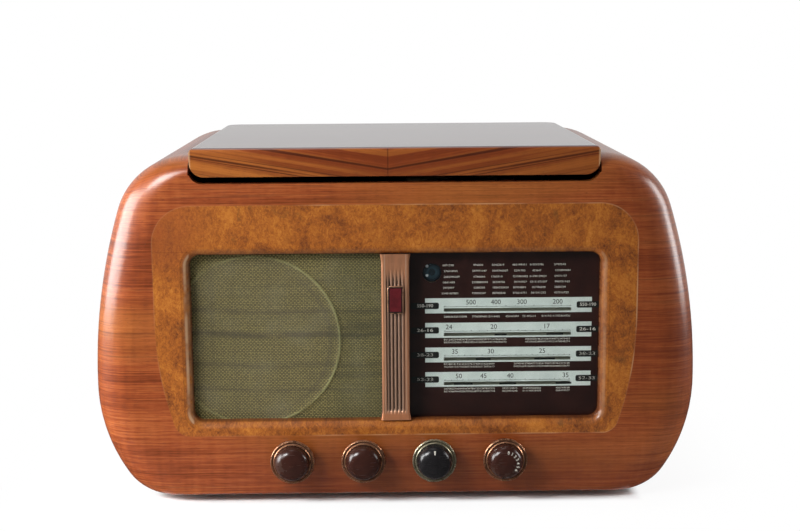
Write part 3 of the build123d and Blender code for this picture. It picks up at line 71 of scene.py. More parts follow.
# Camera, fitted to the straight edges of the photo
CAMERA_PLACE = Vector((-0.0131, -1.3764, 0.4359))
CAMERA_YAW = radians(0.8)
CAMERA_PITCH = radians(9.9)
CAMERA_ROLL = radians(-0.38)
FOCAL_PIXELS = 1360.5
PICTURE_WIDTH = 800
SENSOR_MM = 36.0

# Cabinet outline, for the run of the veneer
SHOULDER_RADIUS = 0.07
SHOULDER_X = cad_high.x - 0.0885
SHOULDER_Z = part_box("cabinet_wrap")[1].z - SHOULDER_RADIUS

# Window and the burl band round it
WINDOW_HALF = 0.1876
WINDOW_BOTTOM = 0.0779
WINDOW_TOP = 0.2337
WINDOW_ROUND = 0.0095
BAND_TOP = 0.2794
BAND_BOTTOM = 0.0645
BAND_HALF = 0.2205
BAND_TAPER_FROM = 0.179
BAND_TAPER = 0.019
BAND_ROUND = 0.035
BAND_ROUND_LOW = 0.01


def new_object(name, data):
    data.name = name
    made = bpy.data.objects.new(name, data)
    bpy.context.scene.collection.objects.link(made)
    return made


def camera():
    """The photo's viewpoint."""
    data = bpy.data.cameras.new("camera")
    data.sensor_width = SENSOR_MM
    data.lens = SENSOR_MM * FOCAL_PIXELS / PICTURE_WIDTH
    data.clip_start = 0.05
    data.clip_end = 50
    seen = new_object("camera", data)
    turn = (Matrix.Rotation(-CAMERA_YAW, 4, "Z") @ Matrix.Rotation(radians(90) - CAMERA_PITCH, 4, "X")
            @ Matrix.Rotation(CAMERA_ROLL, 4, "Z"))
    seen.matrix_world = Matrix.Translation(CAMERA_PLACE) @ turn
    bpy.context.scene.camera = seen


camera()


def middle_of(name):
    """The middle of a CAD node's box."""
    low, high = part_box(name)
    return (low + high) / 2


def plug(tree, socket, part):
    """Sets a socket to a number or a colour, or links a Field to it."""
    if isinstance(part, Field):
        tree.links.new(part.socket, socket)
    elif isinstance(part, tuple):
        socket.default_value = (*part, 1.0)
    else:
        socket.default_value = part


def new_node(tree, kind, **inputs):
    """A node with its inputs set: underscores in their names stand for spaces."""
    node = tree.nodes.new("ShaderNode" + kind)
    for name, value in inputs.items():
        plug(tree, node.inputs[name.replace("_", " ")], value)
    return node


def split(tree, socket):
    """The three parts of a vector, as Fields."""
    node = new_node(tree, "SeparateXYZ")
    tree.links.new(socket, node.inputs[0])
    return [Field(tree, out) for out in node.outputs]


def blend(tree, share, first, second):
    """Surface with the first shader where share is 0, and the second where it is 1."""
    both = new_node(tree, "MixShader")
    plug(tree, both.inputs[0], share)
    tree.links.new(first.outputs[0], both.inputs[1])
    tree.links.new(second.outputs[0], both.inputs[2])
    tree.links.new(both.outputs[0], tree.nodes["Material Output"].inputs["Surface"])


def maths(operation, flip=False):
    """A method that sends a Field, and any others, through one math node."""
    return lambda field, *others: field.math(operation, *others, flip=flip)


class Field:
    """A number or colour that varies over a surface."""

    def __init__(self, tree, socket):
        self.tree = tree
        self.socket = socket

    def math(self, operation, *others, flip=False):
        node = new_node(self.tree, "Math")
        node.operation = operation
        parts = [self, *others]
        if flip:
            parts.reverse()
        for place, part in enumerate(parts):
            plug(self.tree, node.inputs[place], part)
        return Field(self.tree, node.outputs[0])

    __add__ = __radd__ = maths("ADD")
    __sub__ = maths("SUBTRACT")
    __rsub__ = maths("SUBTRACT", flip=True)
    __mul__ = __rmul__ = maths("MULTIPLY")
    __truediv__ = maths("DIVIDE")
    __pow__ = maths("POWER")
    least = maths("MINIMUM")
    most = maths("MAXIMUM")
    size = maths("ABSOLUTE")
    sign = maths("SIGN")
    root = maths("SQRT")
    sine = maths("SINE")
    part = maths("FRACT")
    whole = maths("FLOOR")

    def step(self, low, high):
        """0 below low, 1 above high and smooth in between; falls instead if low is above high."""
        falling = low > high
        node = new_node(self.tree, "MapRange", Value=self, From_Min=min(low, high), From_Max=max(low, high),
                        To_Min=float(falling), To_Max=float(not falling))
        node.interpolation_type = "SMOOTHSTEP"
        return Field(self.tree, node.outputs["Result"])


class Paint:
    """One material and the nodes that it is built from. Its coordinates are the object's own."""

    def __init__(self, name):
        self.material = bpy.data.materials.new(name)
        self.material.use_nodes = True
        self.tree = self.material.node_tree
        self.shader = self.tree.nodes["Principled BSDF"]
        place = new_node(self.tree, "TexCoord")
        self.x, self.y, self.z = split(self.tree, place.outputs["Object"])
        self.nx, self.ny, self.nz = split(self.tree, place.outputs["Normal"])

    def join(self, x, y, z):
        return Field(self.tree, new_node(self.tree, "CombineXYZ", X=x, Y=y, Z=z).outputs[0])

    def noise(self, x, y, z, detail=3.0, rough=0.5, warp=0.0):
        """Cloudy values from 0 to 1, one blob per unit of the coordinates."""
        node = new_node(self.tree, "TexNoise", Vector=self.join(x, y, z), Scale=1.0, Detail=detail,
                        Roughness=rough, Distortion=warp)
        return Field(self.tree, node.outputs["Fac"])

    def cloud(self, scale, **how):
        """Noise of this many blobs to the metre."""
        return self.noise(self.x * scale, self.y * scale, self.z * scale, **how)

    def flat(self, scale, seed=0.0, **how):
        """Noise of this many blobs to the metre, the same at every depth."""
        return self.noise(self.x * scale, self.z * scale, seed, **how)

    def cells(self, x, y, z):
        """Distance to scattered points, one per unit of the coordinates."""
        node = new_node(self.tree, "TexVoronoi", Vector=self.join(x, y, z), Scale=1.0)
        return Field(self.tree, node.outputs["Distance"])

    def away(self, centre, other="z"):
        """Distance from a line through centre, square to X and the other axis."""
        across = getattr(self, other) - getattr(centre, other)
        return ((self.x - centre.x) ** 2 + across ** 2).root()

    def mix(self, share, low, high):
        """The colour low where share is 0, and high where it is 1."""
        node = self.tree.nodes.new("ShaderNodeMix")
        node.data_type = "RGBA"
        plug(self.tree, node.inputs["Factor"], share)
        sockets = [s for s in node.inputs if s.type == "RGBA"]
        plug(self.tree, sockets[0], low)
        plug(self.tree, sockets[1], high)
        return Field(self.tree, [s for s in node.outputs if s.type == "RGBA"][0])

    def coats(self, base, *coats):
        """A colour with others laid over it in turn, each as (share, colour)."""
        for share, colour in coats:
            base = self.mix(share, base, colour)
        return base

    def ramp(self, share, *stops):
        """Colours along a share from 0 to 1, as (place, colour) stops."""
        node = new_node(self.tree, "ValToRGB", Fac=share)
        points = node.color_ramp.elements
        while len(points) < len(stops):
            points.new(0.5)
        for point, (place, colour) in zip(points, stops):
            point.position = place
            point.color = (*colour, 1.0)
        return Field(self.tree, node.outputs["Color"])

    def bump(self, height, depth, strength):
        """Relief of this depth in metres for a height from 0 to 1."""
        node = new_node(self.tree, "Bump", Strength=strength, Distance=depth, Height=height)
        self.tree.links.new(node.outputs[0], self.shader.inputs["Normal"])

    def set(self, **values):
        """Sets the shader's inputs: underscores in their names stand for spaces."""
        for name, value in values.items():
            plug(self.tree, self.shader.inputs[name.replace("_", " ")], value)
        return self.material


def outline_run(p):
    """Length along the cabinet's outline from the front: up the flank, round the shoulder, along the top."""
    out = p.x.size() - SHOULDER_X
    rise = p.z - SHOULDER_Z
    turn = rise.most(0.0).math("ARCTAN2", out.most(0.00001))
    return p.z.least(SHOULDER_Z) + turn * SHOULDER_RADIUS - out.least(0.0)


def grain(p, along, across, seed):
    """Walnut's figure from 0, dark, to 1, light, and its pores."""
    broad = p.noise(along * 1.3, across * 24, seed, detail=2, warp=0.6)
    bands = p.noise(along * 2.2, across * 95, seed + 5, detail=3, rough=0.6, warp=0.5)
    lines = p.noise(along * 5.0, across * 430, seed + 9, detail=2, rough=0.6)
    ripple = p.noise(along * 130, across * 16, seed + 3, detail=1)
    pores = p.noise(along * 160, across * 2600, seed + 7, detail=1).step(0.6, 0.72)
    threads = p.noise(along * 9.0, across * 900, seed + 11, detail=1)
    fleck = p.noise(along * 60, across * 700, seed + 13, detail=2)
    figure = (broad * 0.6 + bands * 0.5 + lines * 0.5 + threads * 0.5 + fleck * 0.35 + ripple * 0.15
              - 0.8)
    streak = bands.step(0.58, 0.7) * lines.step(0.44, 0.6)
    vein = lines.step(0.6, 0.68) * broad.step(0.42, 0.58)
    return figure, streak.most(vein * 0.8), pores


WALNUT_DARK = (0.06, 0.012, 0.004)
WALNUT_DEEP = (0.14, 0.026, 0.006)
WALNUT_MID = (0.27, 0.056, 0.0125)
WALNUT_LIGHT = (0.4, 0.108, 0.026)
WALNUT_GOLD = (0.36, 0.125, 0.022)
BURL_DARK = (0.12, 0.034, 0.01)
BURL_MID = (0.29, 0.082, 0.012)
BURL_GOLD = (0.43, 0.14, 0.018)
BURL_PALE = (0.56, 0.22, 0.04)
BURL_SMOKE = (0.1, 0.05, 0.014)
BURL_RED = (0.26, 0.062, 0.014)
INLAY = (0.52, 0.3, 0.14)
PORE_DEPTH = 1.2
LIP_WORN = (0.33, 0.15, 0.065)
# Colour of painted highlights on the window lip and the lid's ends
PALE_HIGHLIGHT = (0.62, 0.4, 0.22)


def walnut_colour(p, along, across, seed=0.0):
    figure, streak, pores = grain(p, along, across, seed)
    base = p.ramp(figure, (0.3, WALNUT_DEEP), (0.5, WALNUT_MID), (0.72, WALNUT_LIGHT))
    golden = p.noise(along * 3.5, across * 9, seed + 17, detail=2).step(0.5, 0.72)
    base = p.coats(base, (golden * 0.45, WALNUT_GOLD), (streak * 0.6, WALNUT_DARK),
                   (pores * 0.45, WALNUT_DARK))
    return base, figure, pores


def lacquer(p, base, relief, wear=None, gloss=0.9, blur=0.26):
    """Old french polish over a wood colour."""
    haze = p.cloud(9, detail=4, rough=0.6)
    rough = haze * 0.2 + 0.22
    if wear is not None:
        rough = rough + wear * 0.2
    p.bump(relief, 0.00012, 0.5)
    return p.set(Base_Color=base, Roughness=rough + 0.1, Coat_Weight=gloss, Coat_Roughness=blur,
                 Specular_IOR_Level=0.1)


def cabinet_walnut(name, burl):
    """Walnut that runs level round the front and the flanks, and over the shoulders onto the top."""
    p = Paint(name)
    depth = p.y - FRONT
    facing = p.ny.step(-0.35, -0.85)
    run = outline_run(p)
    across = run + (p.z - run) * facing
    along = p.x + p.x.sign() * depth
    base, figure, pores = walnut_colour(p, along, across)
    # Low in the middle of the front: partly darker wood, partly painted shade below the knobs
    foot = p.z.step(0.085, 0.03) * p.x.step(-0.2, -0.02) * (p.x.step(0.26, 0.1) * 0.5 + 0.5)
    # Painted shade: the right side darker, where less of the light falls
    right_side_painted_shade = p.x.step(0.15, 0.26) * p.z.step(0.05, 0.12)
    base = p.coats(base, (foot * facing * 0.55, WALNUT_DEEP), (right_side_painted_shade * 0.3, WALNUT_DEEP))
    relief = figure + pores * -PORE_DEPTH
    if not burl:
        return lacquer(p, base, relief)
    # The band: how far each point is outside its edge
    taper = ((BAND_TAPER_FROM - p.z).most(0.0) / (BAND_TAPER_FROM - BAND_BOTTOM)) ** 2.2
    half = BAND_HALF - taper * BAND_TAPER
    middle = (BAND_TOP + BAND_BOTTOM) / 2
    corner = p.z.step(0.1, 0.16) * (BAND_ROUND - BAND_ROUND_LOW) + BAND_ROUND_LOW
    out_x = p.x.size() - half + corner
    out_z = (p.z - middle).size() - (BAND_TOP - BAND_BOTTOM) / 2 + corner
    away = (out_x.most(0.0) ** 2 + out_z.most(0.0) ** 2).root() + out_x.most(out_z).least(0.0) - corner
    edge_wander = (p.flat(60, 3.0, detail=3) - 0.5) * 0.0016
    inside = (away + edge_wander).step(0.0004, -0.0004)
    # The burl in it
    patches = p.noise(p.x * 26, p.z * 20, 2.0, detail=4, rough=0.65, warp=1.2)
    curls = p.noise(p.x * 150, p.z * 95, 8.0, detail=5, rough=0.72, warp=2.2)
    fibres = p.noise(p.x * 330, p.z * 250, 4.0, detail=3, rough=0.7, warp=2.0)
    eyes = p.cells(p.x * 75 + curls * 1.5, p.z * 60 + curls, 1.0).step(0.32, 0.05)
    tone = patches * 0.6 + curls * 0.58 + fibres * 0.46 - 0.32
    burl_base = p.ramp(tone, (0.3, BURL_DARK), (0.46, BURL_MID), (0.6, BURL_GOLD), (0.82, BURL_PALE))
    smoke = p.noise(p.x * 34, p.z * 22, 6.0, detail=4, rough=0.7, warp=0.8).step(0.58, 0.74)
    red_corner = p.x.step(-0.15, -0.225) * p.z.step(0.205, 0.245)
    burl_base = p.coats(burl_base, (eyes * 0.25, BURL_DARK), (smoke * 0.6, BURL_SMOKE),
                        (red_corner * 0.55, BURL_RED))
    inside = inside * (1.0 - red_corner * patches.step(0.35, 0.65) * 0.6)
    # The pale line round it
    faded = p.flat(18, 9.0, detail=2).step(0.42, 0.62)
    right_part = p.x.step(-0.16, 0.02) * 0.8 + 0.2
    line = away.size().step(0.0008, 0.0002) * (faded * 0.6 + 0.1) * right_part
    # The rounded lip of the window and the joint above it
    lip_x = p.x.size() - (WINDOW_HALF - WINDOW_ROUND)
    lip_z = (p.z - (WINDOW_TOP + WINDOW_BOTTOM) / 2).size() - (WINDOW_TOP - WINDOW_BOTTOM) / 2 + WINDOW_ROUND
    lip = (lip_x.most(0.0) ** 2 + lip_z.most(0.0) ** 2).root() - WINDOW_ROUND
    left = p.x.step(0.1, -0.1)
    joint = (p.z - WINDOW_TOP - 0.0035).size().step(0.0007, 0.0002)
    joint = joint * (p.x.size() - WINDOW_HALF).step(-0.002, 0.002)
    upright = lip_x.step(0.0085, 0.0105)
    rubbed = lip.step(0.0075, 0.004) * p.flat(90, 5.0, detail=4).step(0.3, 0.6)
    # Painted highlight along the crest of the lip's rounding, stronger on the left
    lip_crest_highlight = (lip - 0.004).size().step(0.0018, 0.0004) * upright * p.flat(50, 2.0).step(0.3, 0.6)
    shade = upright * (1.0 - left) * lip.step(0.008, 0.004)
    rim = (lip - 0.0078).size().step(0.001, 0.0003) * upright
    base = p.coats(
        base, (inside, burl_base), (line, INLAY),
        (joint * inside * left * 0.35, WALNUT_DARK),
        (rubbed * (upright * left * 0.5 + 0.15), LIP_WORN),
        (lip_crest_highlight * (left * 0.4 + 0.3), PALE_HIGHLIGHT),
        (shade * 0.45, BURL_DARK),
        (rim * 0.25, WALNUT_DARK),
        # Painted shade in the window's opening and at its edge
        (lip.step(0.0016, 0.0002) * 0.6, WALNUT_DARK),
    )
    return lacquer(p, base, relief + (curls - 0.5) * inside, rubbed)


LID_SEAM_X = -0.0065
LEAF_FALL = 0.17


def lid_walnut():
    """Level grain on the lid's top, and on its apron two mirrored leaves that fall to the middle."""
    p = Paint("lid_walnut")
    facing = p.ny.step(-0.3, -0.8)
    side = (p.x - LID_SEAM_X).size()
    leaf_across = p.z - side * LEAF_FALL
    across = leaf_across * facing + p.y * (1.0 - facing)
    along = side * facing + p.x * (1.0 - facing)
    base, figure, pores = walnut_colour(p, along, across, 20.0)
    pale = leaf_across.step(LID_HIGH.z - 0.018, LID_LOW.z - 0.03)
    grown = p.noise(side * 1.6, leaf_across * 210, 31.0, detail=2, rough=0.55, warp=0.3)
    late = grown.step(0.52, 0.62) * p.noise(side * 6, leaf_across * 60, 33.0, detail=2).step(0.3, 0.6)
    ribbon = p.noise(side * 2.4, leaf_across * 130, 35.0, detail=2, warp=0.3)
    leaf = p.coats(
        p.mix(pale, (0.235, 0.048, 0.01), (0.385, 0.13, 0.022)),
        (figure.step(0.35, 0.75) * 0.25, WALNUT_LIGHT),
        (figure.step(0.56, 0.34) * 0.6, WALNUT_DEEP),
        (ribbon.step(0.5, 0.62) * 0.55, (0.4, 0.125, 0.022)),
        (ribbon.step(0.46, 0.34) * 0.45, (0.15, 0.026, 0.006)),
        # Painted shade: the apron darker towards the right
        (p.x.step(-0.08, 0.14) * 0.4, WALNUT_DEEP),
        (late * 0.85, (0.045, 0.009, 0.003)),
        (pores * 0.35, WALNUT_DARK),
        (side.step(0.0009, 0.0002) * 0.6, WALNUT_DARK),
        # Painted highlight along the rounded ends of the lid
        ((LID_HIGH.x - p.x.size()).step(0.002, 0.0006) * 0.5, PALE_HIGHLIGHT),
    )
    # Painted reflection of the pale backdrop: bluish grey on the upward faces
    backdrop_reflection = p.nz.step(0.6, 0.95) * 0.7
    base = p.coats(base, (facing, leaf), (backdrop_reflection, (0.078, 0.082, 0.092)))
    return lacquer(p, base, figure + pores * -PORE_DEPTH, gloss=1.0, blur=0.07)


def plain_wood(name, *tones, scale=1.0, rough=0.6):
    """Unpolished board: plywood, hardboard or a painted deck, with level grain."""
    p = Paint(name)
    fibres = p.noise(p.x * 12 * scale, p.y * 380 * scale, p.z * 380, detail=3, rough=0.6)
    clouds = p.cloud(8)
    tone = fibres * 0.55 + clouds * 0.6 - 0.08
    base = p.ramp(tone, *zip((0.3, 0.5, 0.72), tones))
    p.bump(fibres, 0.0002, 0.6)
    return p.set(Base_Color=base, Roughness=clouds * 0.15 + rough)


def metal(name, colour, dark, rough=0.3, brushed=False, patina=0.35):
    """Plated metal with stains of a darker tone."""
    p = Paint(name)
    stain = p.cloud(60, detail=5, rough=0.65, warp=0.6)
    specks = p.cloud(900, detail=2)
    worn = stain.step(0.45, 0.72) * patina + specks.step(0.55, 0.75) * 0.18
    p.bump(p.noise(p.x * 30, p.y * 30, p.z * 2500, detail=2) if brushed else specks, 0.00005, 0.4)
    return p.set(Base_Color=p.mix(worn, colour, dark), Roughness=worn * 0.3 + rough, Metallic=1.0)


def moulded(name, colour, dust, rough=0.28, bump=0.00006):
    """Moulded plastic with faint mottling, dust in its hollows and fine scratches."""
    p = Paint(name)
    mottle = p.cloud(140, detail=4, rough=0.6, warp=0.8)
    grime = p.cloud(35, detail=4, rough=0.7).step(0.5, 0.75)
    base = p.mix(mottle.step(0.35, 0.75) * 0.5, colour, tuple(0.55 * c for c in colour))
    base = p.mix(grime * 0.3, base, dust)
    scratch = p.noise(p.x * 40, p.y * 900, p.z * 900, detail=1).step(0.62, 0.7)
    p.bump(mottle + scratch * -0.5, bump, 0.5)
    return p.set(Base_Color=base, Roughness=grime * 0.2 + scratch * 0.1 + rough)


def paint_over(obj, material):
    obj.data.materials.clear()
    obj.data.materials.append(material)


def give(material, *nodes):
    """Gives CAD nodes this material."""
    for node in nodes:
        paint_over(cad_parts[node], material)


def smooth(obj, angle):
    """Smooth shading, with edges sharper than this angle kept crisp."""
    obj.data.shade_smooth()
    obj.data.set_sharp_from_angle(angle=radians(angle))


def piece(name, mesh, material, body="cabinet"):
    """A new object from a mesh in the row's frame, riding on a body."""
    made = new_object(name, mesh)
    paint_over(made, material)
    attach(made, body)
    return made


def mesh_from(points, faces):
    mesh = bpy.data.meshes.new("mesh")
    mesh.from_pydata([tuple(q) for q in points], [], faces)
    mesh.validate()
    mesh.update()
    return mesh


# Speaker cloth: stretched over the baffle, with the rim of its round hole showing through
RING = middle_of("speaker_frame")
RING_RADIUS = 0.079
RING_RISE = 0.0009
RING_WIDTH = 0.002
RING_SUNK = 0.0006
CLOTH_SAG = 0.00022
YARN_PITCH = 0.00165
CLOTH_LIFT = 0.0004
# Level water stains on the cloth: height, half thickness, where each starts, and how dark it is
STAINS = (
    (0.2075, 0.0026, -0.08, 0.45),
    (0.1795, 0.003, -0.3, 0.5),
    (0.166, 0.005, -0.07, 0.55),
    (0.1575, 0.003, -0.3, 0.75),
    (0.1285, 0.0024, -0.3, 0.4),
    (0.119, 0.003, -0.075, 0.45),
    (0.105, 0.0022, -0.3, 0.35),
)
CLOTH_COLUMNS = 190
CLOTH_ROWS = 162


def cloth_depth(x, z):
    """How far the cloth stands in front of its flat place."""
    away = hypot(x - RING.x, z - RING.z)
    ring = RING_RISE * exp(-((away - RING_RADIUS) / RING_WIDTH) ** 2)
    sunk = -RING_SUNK * max(0.0, 1 - (away / RING_RADIUS) ** 2)
    sag = CLOTH_SAG * sin(x * 41 + z * 9) * sin(z * 57 - x * 13)
    return ring + sunk + sag


def cloth_material():
    """Coarse two-tone weave: olive yarn with gold and dark threads, level stains and dust."""
    p = Paint("speaker_cloth")
    wander = (p.flat(40, 1.0, detail=2) - 0.5) * 0.35
    u = p.x * (1 / YARN_PITCH) + wander
    v = p.z * (1 / YARN_PITCH) + wander
    over = ((u.whole() + v.whole()) * 0.5).part().step(0.2, 0.3)
    under = 1.0 - over
    height = (u * pi).sine().size() * over + (v * pi).sine().size() * under
    upright_streaks = p.noise(p.x * 900, p.z * 6, 3.0, detail=1)
    level_streaks = p.noise(p.x * 6, p.z * 900, 4.0, detail=1)
    streaks = upright_streaks * over + level_streaks * under
    drift = (p.noise(p.x * 14, 0.0, 6.0) - 0.5) * 0.016
    grey = 0.0
    for level, tall, left, strong in STAINS:
        near = (p.z + drift - level).size().step(tall * 1.7, 0.0)
        side = (p.x - left).step(-0.02, 0.02) if left > CLOTH_LOW.x else 1.0
        grey = (near * side * strong).most(grey)
    grey = grey * p.noise(p.x * 26, p.z * 60, 7.0).step(0.25, 0.55)
    beside = p.x - RING.x
    away = p.away(RING)
    # Painted highlight along the raised ring, stronger on its right
    ring_highlight = (away - RING_RADIUS).size().step(0.0015, 0.0004) * p.flat(30, 8.0).step(0.3, 0.6)
    second = (away - RING_RADIUS + 0.0085).size().step(0.003, 0.0006) * beside.step(0.02, 0.06)
    yarn = p.coats(
        p.mix(over, (0.255, 0.21, 0.07), (0.1, 0.09, 0.03)),
        (p.noise(u * 0.9, v * 0.9, 2.0, detail=2).step(0.46, 0.7) * 0.6, (0.38, 0.31, 0.11)),
        (streaks.step(0.5, 0.66) * 0.4, (0.075, 0.07, 0.035)),
        # Dark between the yarns: partly the gaps in the weave, partly painted shade
        (height.step(0.65, 0.2) * 0.95, (0.014, 0.013, 0.008)),
        (grey * 0.85, (0.034, 0.03, 0.02)),
        (p.noise(p.x * 150, p.z * 5, 12.0, detail=2).step(0.5, 0.75) * 0.22, (0.045, 0.042, 0.026)),
        (ring_highlight * (beside.step(-0.055, 0.03) * 0.6 + 0.4) * 0.55, (0.36, 0.36, 0.15)),
        (second * 0.3, (0.06, 0.052, 0.034)),
        (away.step(RING_RADIUS + 0.002, RING_RADIUS - 0.004) * 0.18, (0.12, 0.1, 0.07)),
        # Painted shade on the right part of the cloth, beside the pillar
        (beside.step(0.06, 0.085) * 0.3, (0.06, 0.062, 0.03)),
        (p.flat(22, 9.0, detail=4).step(0.45, 0.75) * 0.15, (0.3, 0.28, 0.2)),
    )
    p.bump(height, 0.0004, 0.8)
    return p.set(Base_Color=yarn, Roughness=0.85, Specular_IOR_Level=0.25, Sheen_Weight=0.15)


def grid_faces(rows, across, closed=False):
    """Faces between rows of points, each row this many points across, and joined end to end if closed."""
    columns = range(across if closed else across - 1)
    return [(low + k, low + (k + 1) % across, low + across + (k + 1) % across, low + across + k)
            for low in range(0, rows * across, across) for k in columns]


def speaker_cloth():
    plane = CLOTH_HIGH.y - CLOTH_LIFT
    points = []
    for row in range(CLOTH_ROWS + 1):
        z = CLOTH_LOW.z + (CLOTH_HIGH.z - CLOTH_LOW.z) * row / CLOTH_ROWS
        for column in range(CLOTH_COLUMNS + 1):
            x = CLOTH_LOW.x + (CLOTH_HIGH.x - CLOTH_LOW.x) * column / CLOTH_COLUMNS
            points.append((x, plane - cloth_depth(x, z), z))
    mesh = mesh_from(points, grid_faces(CLOTH_ROWS, CLOTH_COLUMNS + 1))
    cloth = piece("speaker_cloth", mesh, cloth_material())
    smooth(cloth, 60)
    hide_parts("grille_cloth")


# Pillar: fluted copper strip between two smooth borders, plain and flared at its ends
PILLAR_HALF = 0.013
FLUTED_HALF = 0.0086
FLUTES = 5
FLUTE_DEPTH = 0.0013
EDGE_ROUND = 0.0022
FLUTED_SUNK = 0.0007
END_FLARE = 0.001
END_WIDER = 0.07
PILLAR_COLUMNS = 96
PILLAR_ROWS = 90


def pillar_ends(z, reach):
    """1 at the pillar's two ends, down to 0 this far from them."""
    return max(0.0, 1 - (z - PILLAR_LOW.z) / reach) + max(0.0, 1 - (PILLAR_HIGH.z - z) / reach)


def pillar_relief(x, z):
    """Depth of the pillar's face behind its foremost plane."""
    above, below = z - PILLAR_LOW.z, PILLAR_HIGH.z - z
    fade = min(1.0, max(0.0, (above - 0.006) / 0.004)) * min(1.0, max(0.0, (below - 0.012) / 0.016))
    fade = fade * fade * (3 - 2 * fade)
    sunk = 0.0
    if abs(x) < FLUTED_HALF:
        wave = abs(sin(pi * FLUTES * (x + FLUTED_HALF) / (2 * FLUTED_HALF))) ** 0.7
        sunk = (FLUTE_DEPTH * (1 - wave) + FLUTED_SUNK) * fade
    edge = max(0.0, 1 - (PILLAR_HALF - abs(x)) / EDGE_ROUND)
    rounding = EDGE_ROUND * (1 - sqrt(max(0.0, 1 - edge ** 2)))
    return sunk + rounding - END_FLARE * pillar_ends(z, 0.008)


def pillar():
    middle = middle_of("center_pillar").x
    face = PILLAR_LOW.y + END_FLARE
    back = PILLAR_HIGH.y
    points = []
    for row in range(PILLAR_ROWS + 1):
        z = PILLAR_LOW.z + (PILLAR_HIGH.z - PILLAR_LOW.z) * row / PILLAR_ROWS
        wide = 1 + END_WIDER * pillar_ends(z, 0.007)
        points.append((middle - PILLAR_HALF * wide, back, z))
        for column in range(PILLAR_COLUMNS + 1):
            x = PILLAR_HALF * (2 * column / PILLAR_COLUMNS - 1)
            points.append((middle + x * wide, face + pillar_relief(x, z), z))
        points.append((middle + PILLAR_HALF * wide, back, z))
    across = PILLAR_COLUMNS + 3
    faces = grid_faces(PILLAR_ROWS, across, closed=True)
    faces.append(tuple(reversed(range(across))))
    faces.append(tuple(PILLAR_ROWS * across + column for column in range(across)))
    p = Paint("pillar_copper")
    stain = p.noise(p.x * 120, p.y * 120, p.z * 18, detail=5, rough=0.65, warp=0.5)
    beside = (p.x - middle).size()
    hollow = (p.y - face).step(0.0004, 0.0016)
    worn = stain.step(0.42, 0.7) * 0.55
    fluted = beside.step(FLUTED_HALF + 0.0004, FLUTED_HALF - 0.0004)
    fluted = fluted * p.z.step(PILLAR_LOW.z + 0.005, PILLAR_LOW.z + 0.01)
    fluted = fluted * p.z.step(PILLAR_HIGH.z - 0.012, PILLAR_HIGH.z - 0.03)
    foot = p.z.step(PILLAR_LOW.z + 0.009, PILLAR_LOW.z + 0.004)
    # Painted highlight lines along the inner edges of the smooth borders
    bead = (beside - FLUTED_HALF - 0.0011).size().step(0.0007, 0.0002) * (1.0 - foot)
    base = p.coats(
        p.mix(worn, (0.6, 0.27, 0.14), (0.24, 0.115, 0.07)),
        (fluted * 0.6, (0.5, 0.36, 0.27)),
        (foot * 0.6, (0.62, 0.23, 0.1)),
        (bead * 0.6, (0.72, 0.5, 0.36)),
        (hollow * 0.92, (0.04, 0.022, 0.017)),
    )
    p.bump(p.noise(p.x * 1500, p.y * 1500, p.z * 8, detail=2), 0.00004, 0.4)
    copper = p.set(Base_Color=base, Roughness=worn * 0.2 + hollow * 0.2 + 0.32, Metallic=0.55)
    made = piece("pillar", mesh_from(points, faces), copper)
    smooth(made, 50)
    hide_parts("center_pillar")


# Dial: what is printed on the back of the glass. Depths are in metres, all else in millimetres
PRINT_FRONT = GLASS_HIGH.y + 0.0001
FILM_BACK = PRINT_FRONT + 0.00012
INK_FRONT = GLASS_HIGH.y + 0.00003
FILM_STEP = 0.00001
PALE_FRONT = INK_FRONT + 0.00004
INK_BACK = PALE_FRONT - FILM_STEP
GROUND_MARGIN = 0.5
GROUND_LEFT_MARGIN = 2.5
STRIP_TOPS = (189.9, 166.7, 143.3, 119.8)
STRIP_TALL = 14.2
STRIP_LEFT = 27.0
STRIP_RIGHT = 181.4
SCALE_LEFT = 44.4
SCALE_RIGHT = 162.3
SLOT_TOP = 9.5
SLOT_TALL = 3.2
TICK_DROP = 8.3
TICK_LINE = 0.3
TICK_HALF = 0.2
TICK_LONG, TICK_SHORT = 1.3, 0.8
TICK_CROWDING = 0.93
SHUT_LOW, SHUT_HIGH = 0.3, 1.9
NUMBER_DROP = 4.2
NUMBER_TALL = 4.4
TAB_TALL = 6.0
TAB_LEFT = (14.0, 39.8)
TAB_RIGHT = (167.3, 188.3)
TAB_ROUND = 1.6
LABEL_TALL, LABEL_WIDE = 2.9, 15
EYE_X = 33.4
EYE_Z = 214.0
EYE_WINDOW = 8.8
# Each strip: its numbers and their places, the shut parts of its slot, its label and how many ticks it has
SCALES = (
    (((500, 69.4), (400, 92.5), (300, 116.5), (200, 149.7)), (), "550-190", 13),
    (((24, 49.1), (20, 90.6), (17, 139.6)), ((91.5, 102.6), (139.6, 155.3)), "26-16", 16),
    (((35, 54.6), (30, 87.9), (25, 135.9)), ((74.0, 87.9), (128.5, 147.9)), "38-23", 22),
    (((50, 58.3), (45, 81.4), (40, 106.3), (35, 158.0)), ((53.7, 71.2), (96.2, 111.9), (148.8, 163.5)),
     "52-33", 24),
)
# Small numbers on the upper ground, one in each column of each row
SMALL_COLUMNS = (43.5, 71.0, 88.5, 108.5, 124.5, 147.0)
SMALL_LEVELS = (220.7, 215.2, 209.8, 204.6, 199.5, 194.3)
DIGIT_WIDE = 1.45
ROW_TALL, LOW_ROW_TALL = 1.75, 1.55
# Small numbers between the strips: the levels, their height, and where each number starts and ends
SMALL_ROWS = (
    ((172.3,), ROW_TALL, ((44.5, 65.5), (70.5, 96), (101.5, 114), (117, 129.5), (135, 161.5))),
    ((150.6, 148.0), LOW_ROW_TALL, ((44.5, 102.5), (120, 161.5))),
    ((127.2, 124.6), LOW_ROW_TALL, ((44.5, 91.5), (109.5, 161.5))),
    ((103.6, 101.0), LOW_ROW_TALL, ((44.5, 92), (99, 113), (118, 135), (149, 162))),
)
CORNER_STEPS = 6
CIRCLE_STEPS = 48


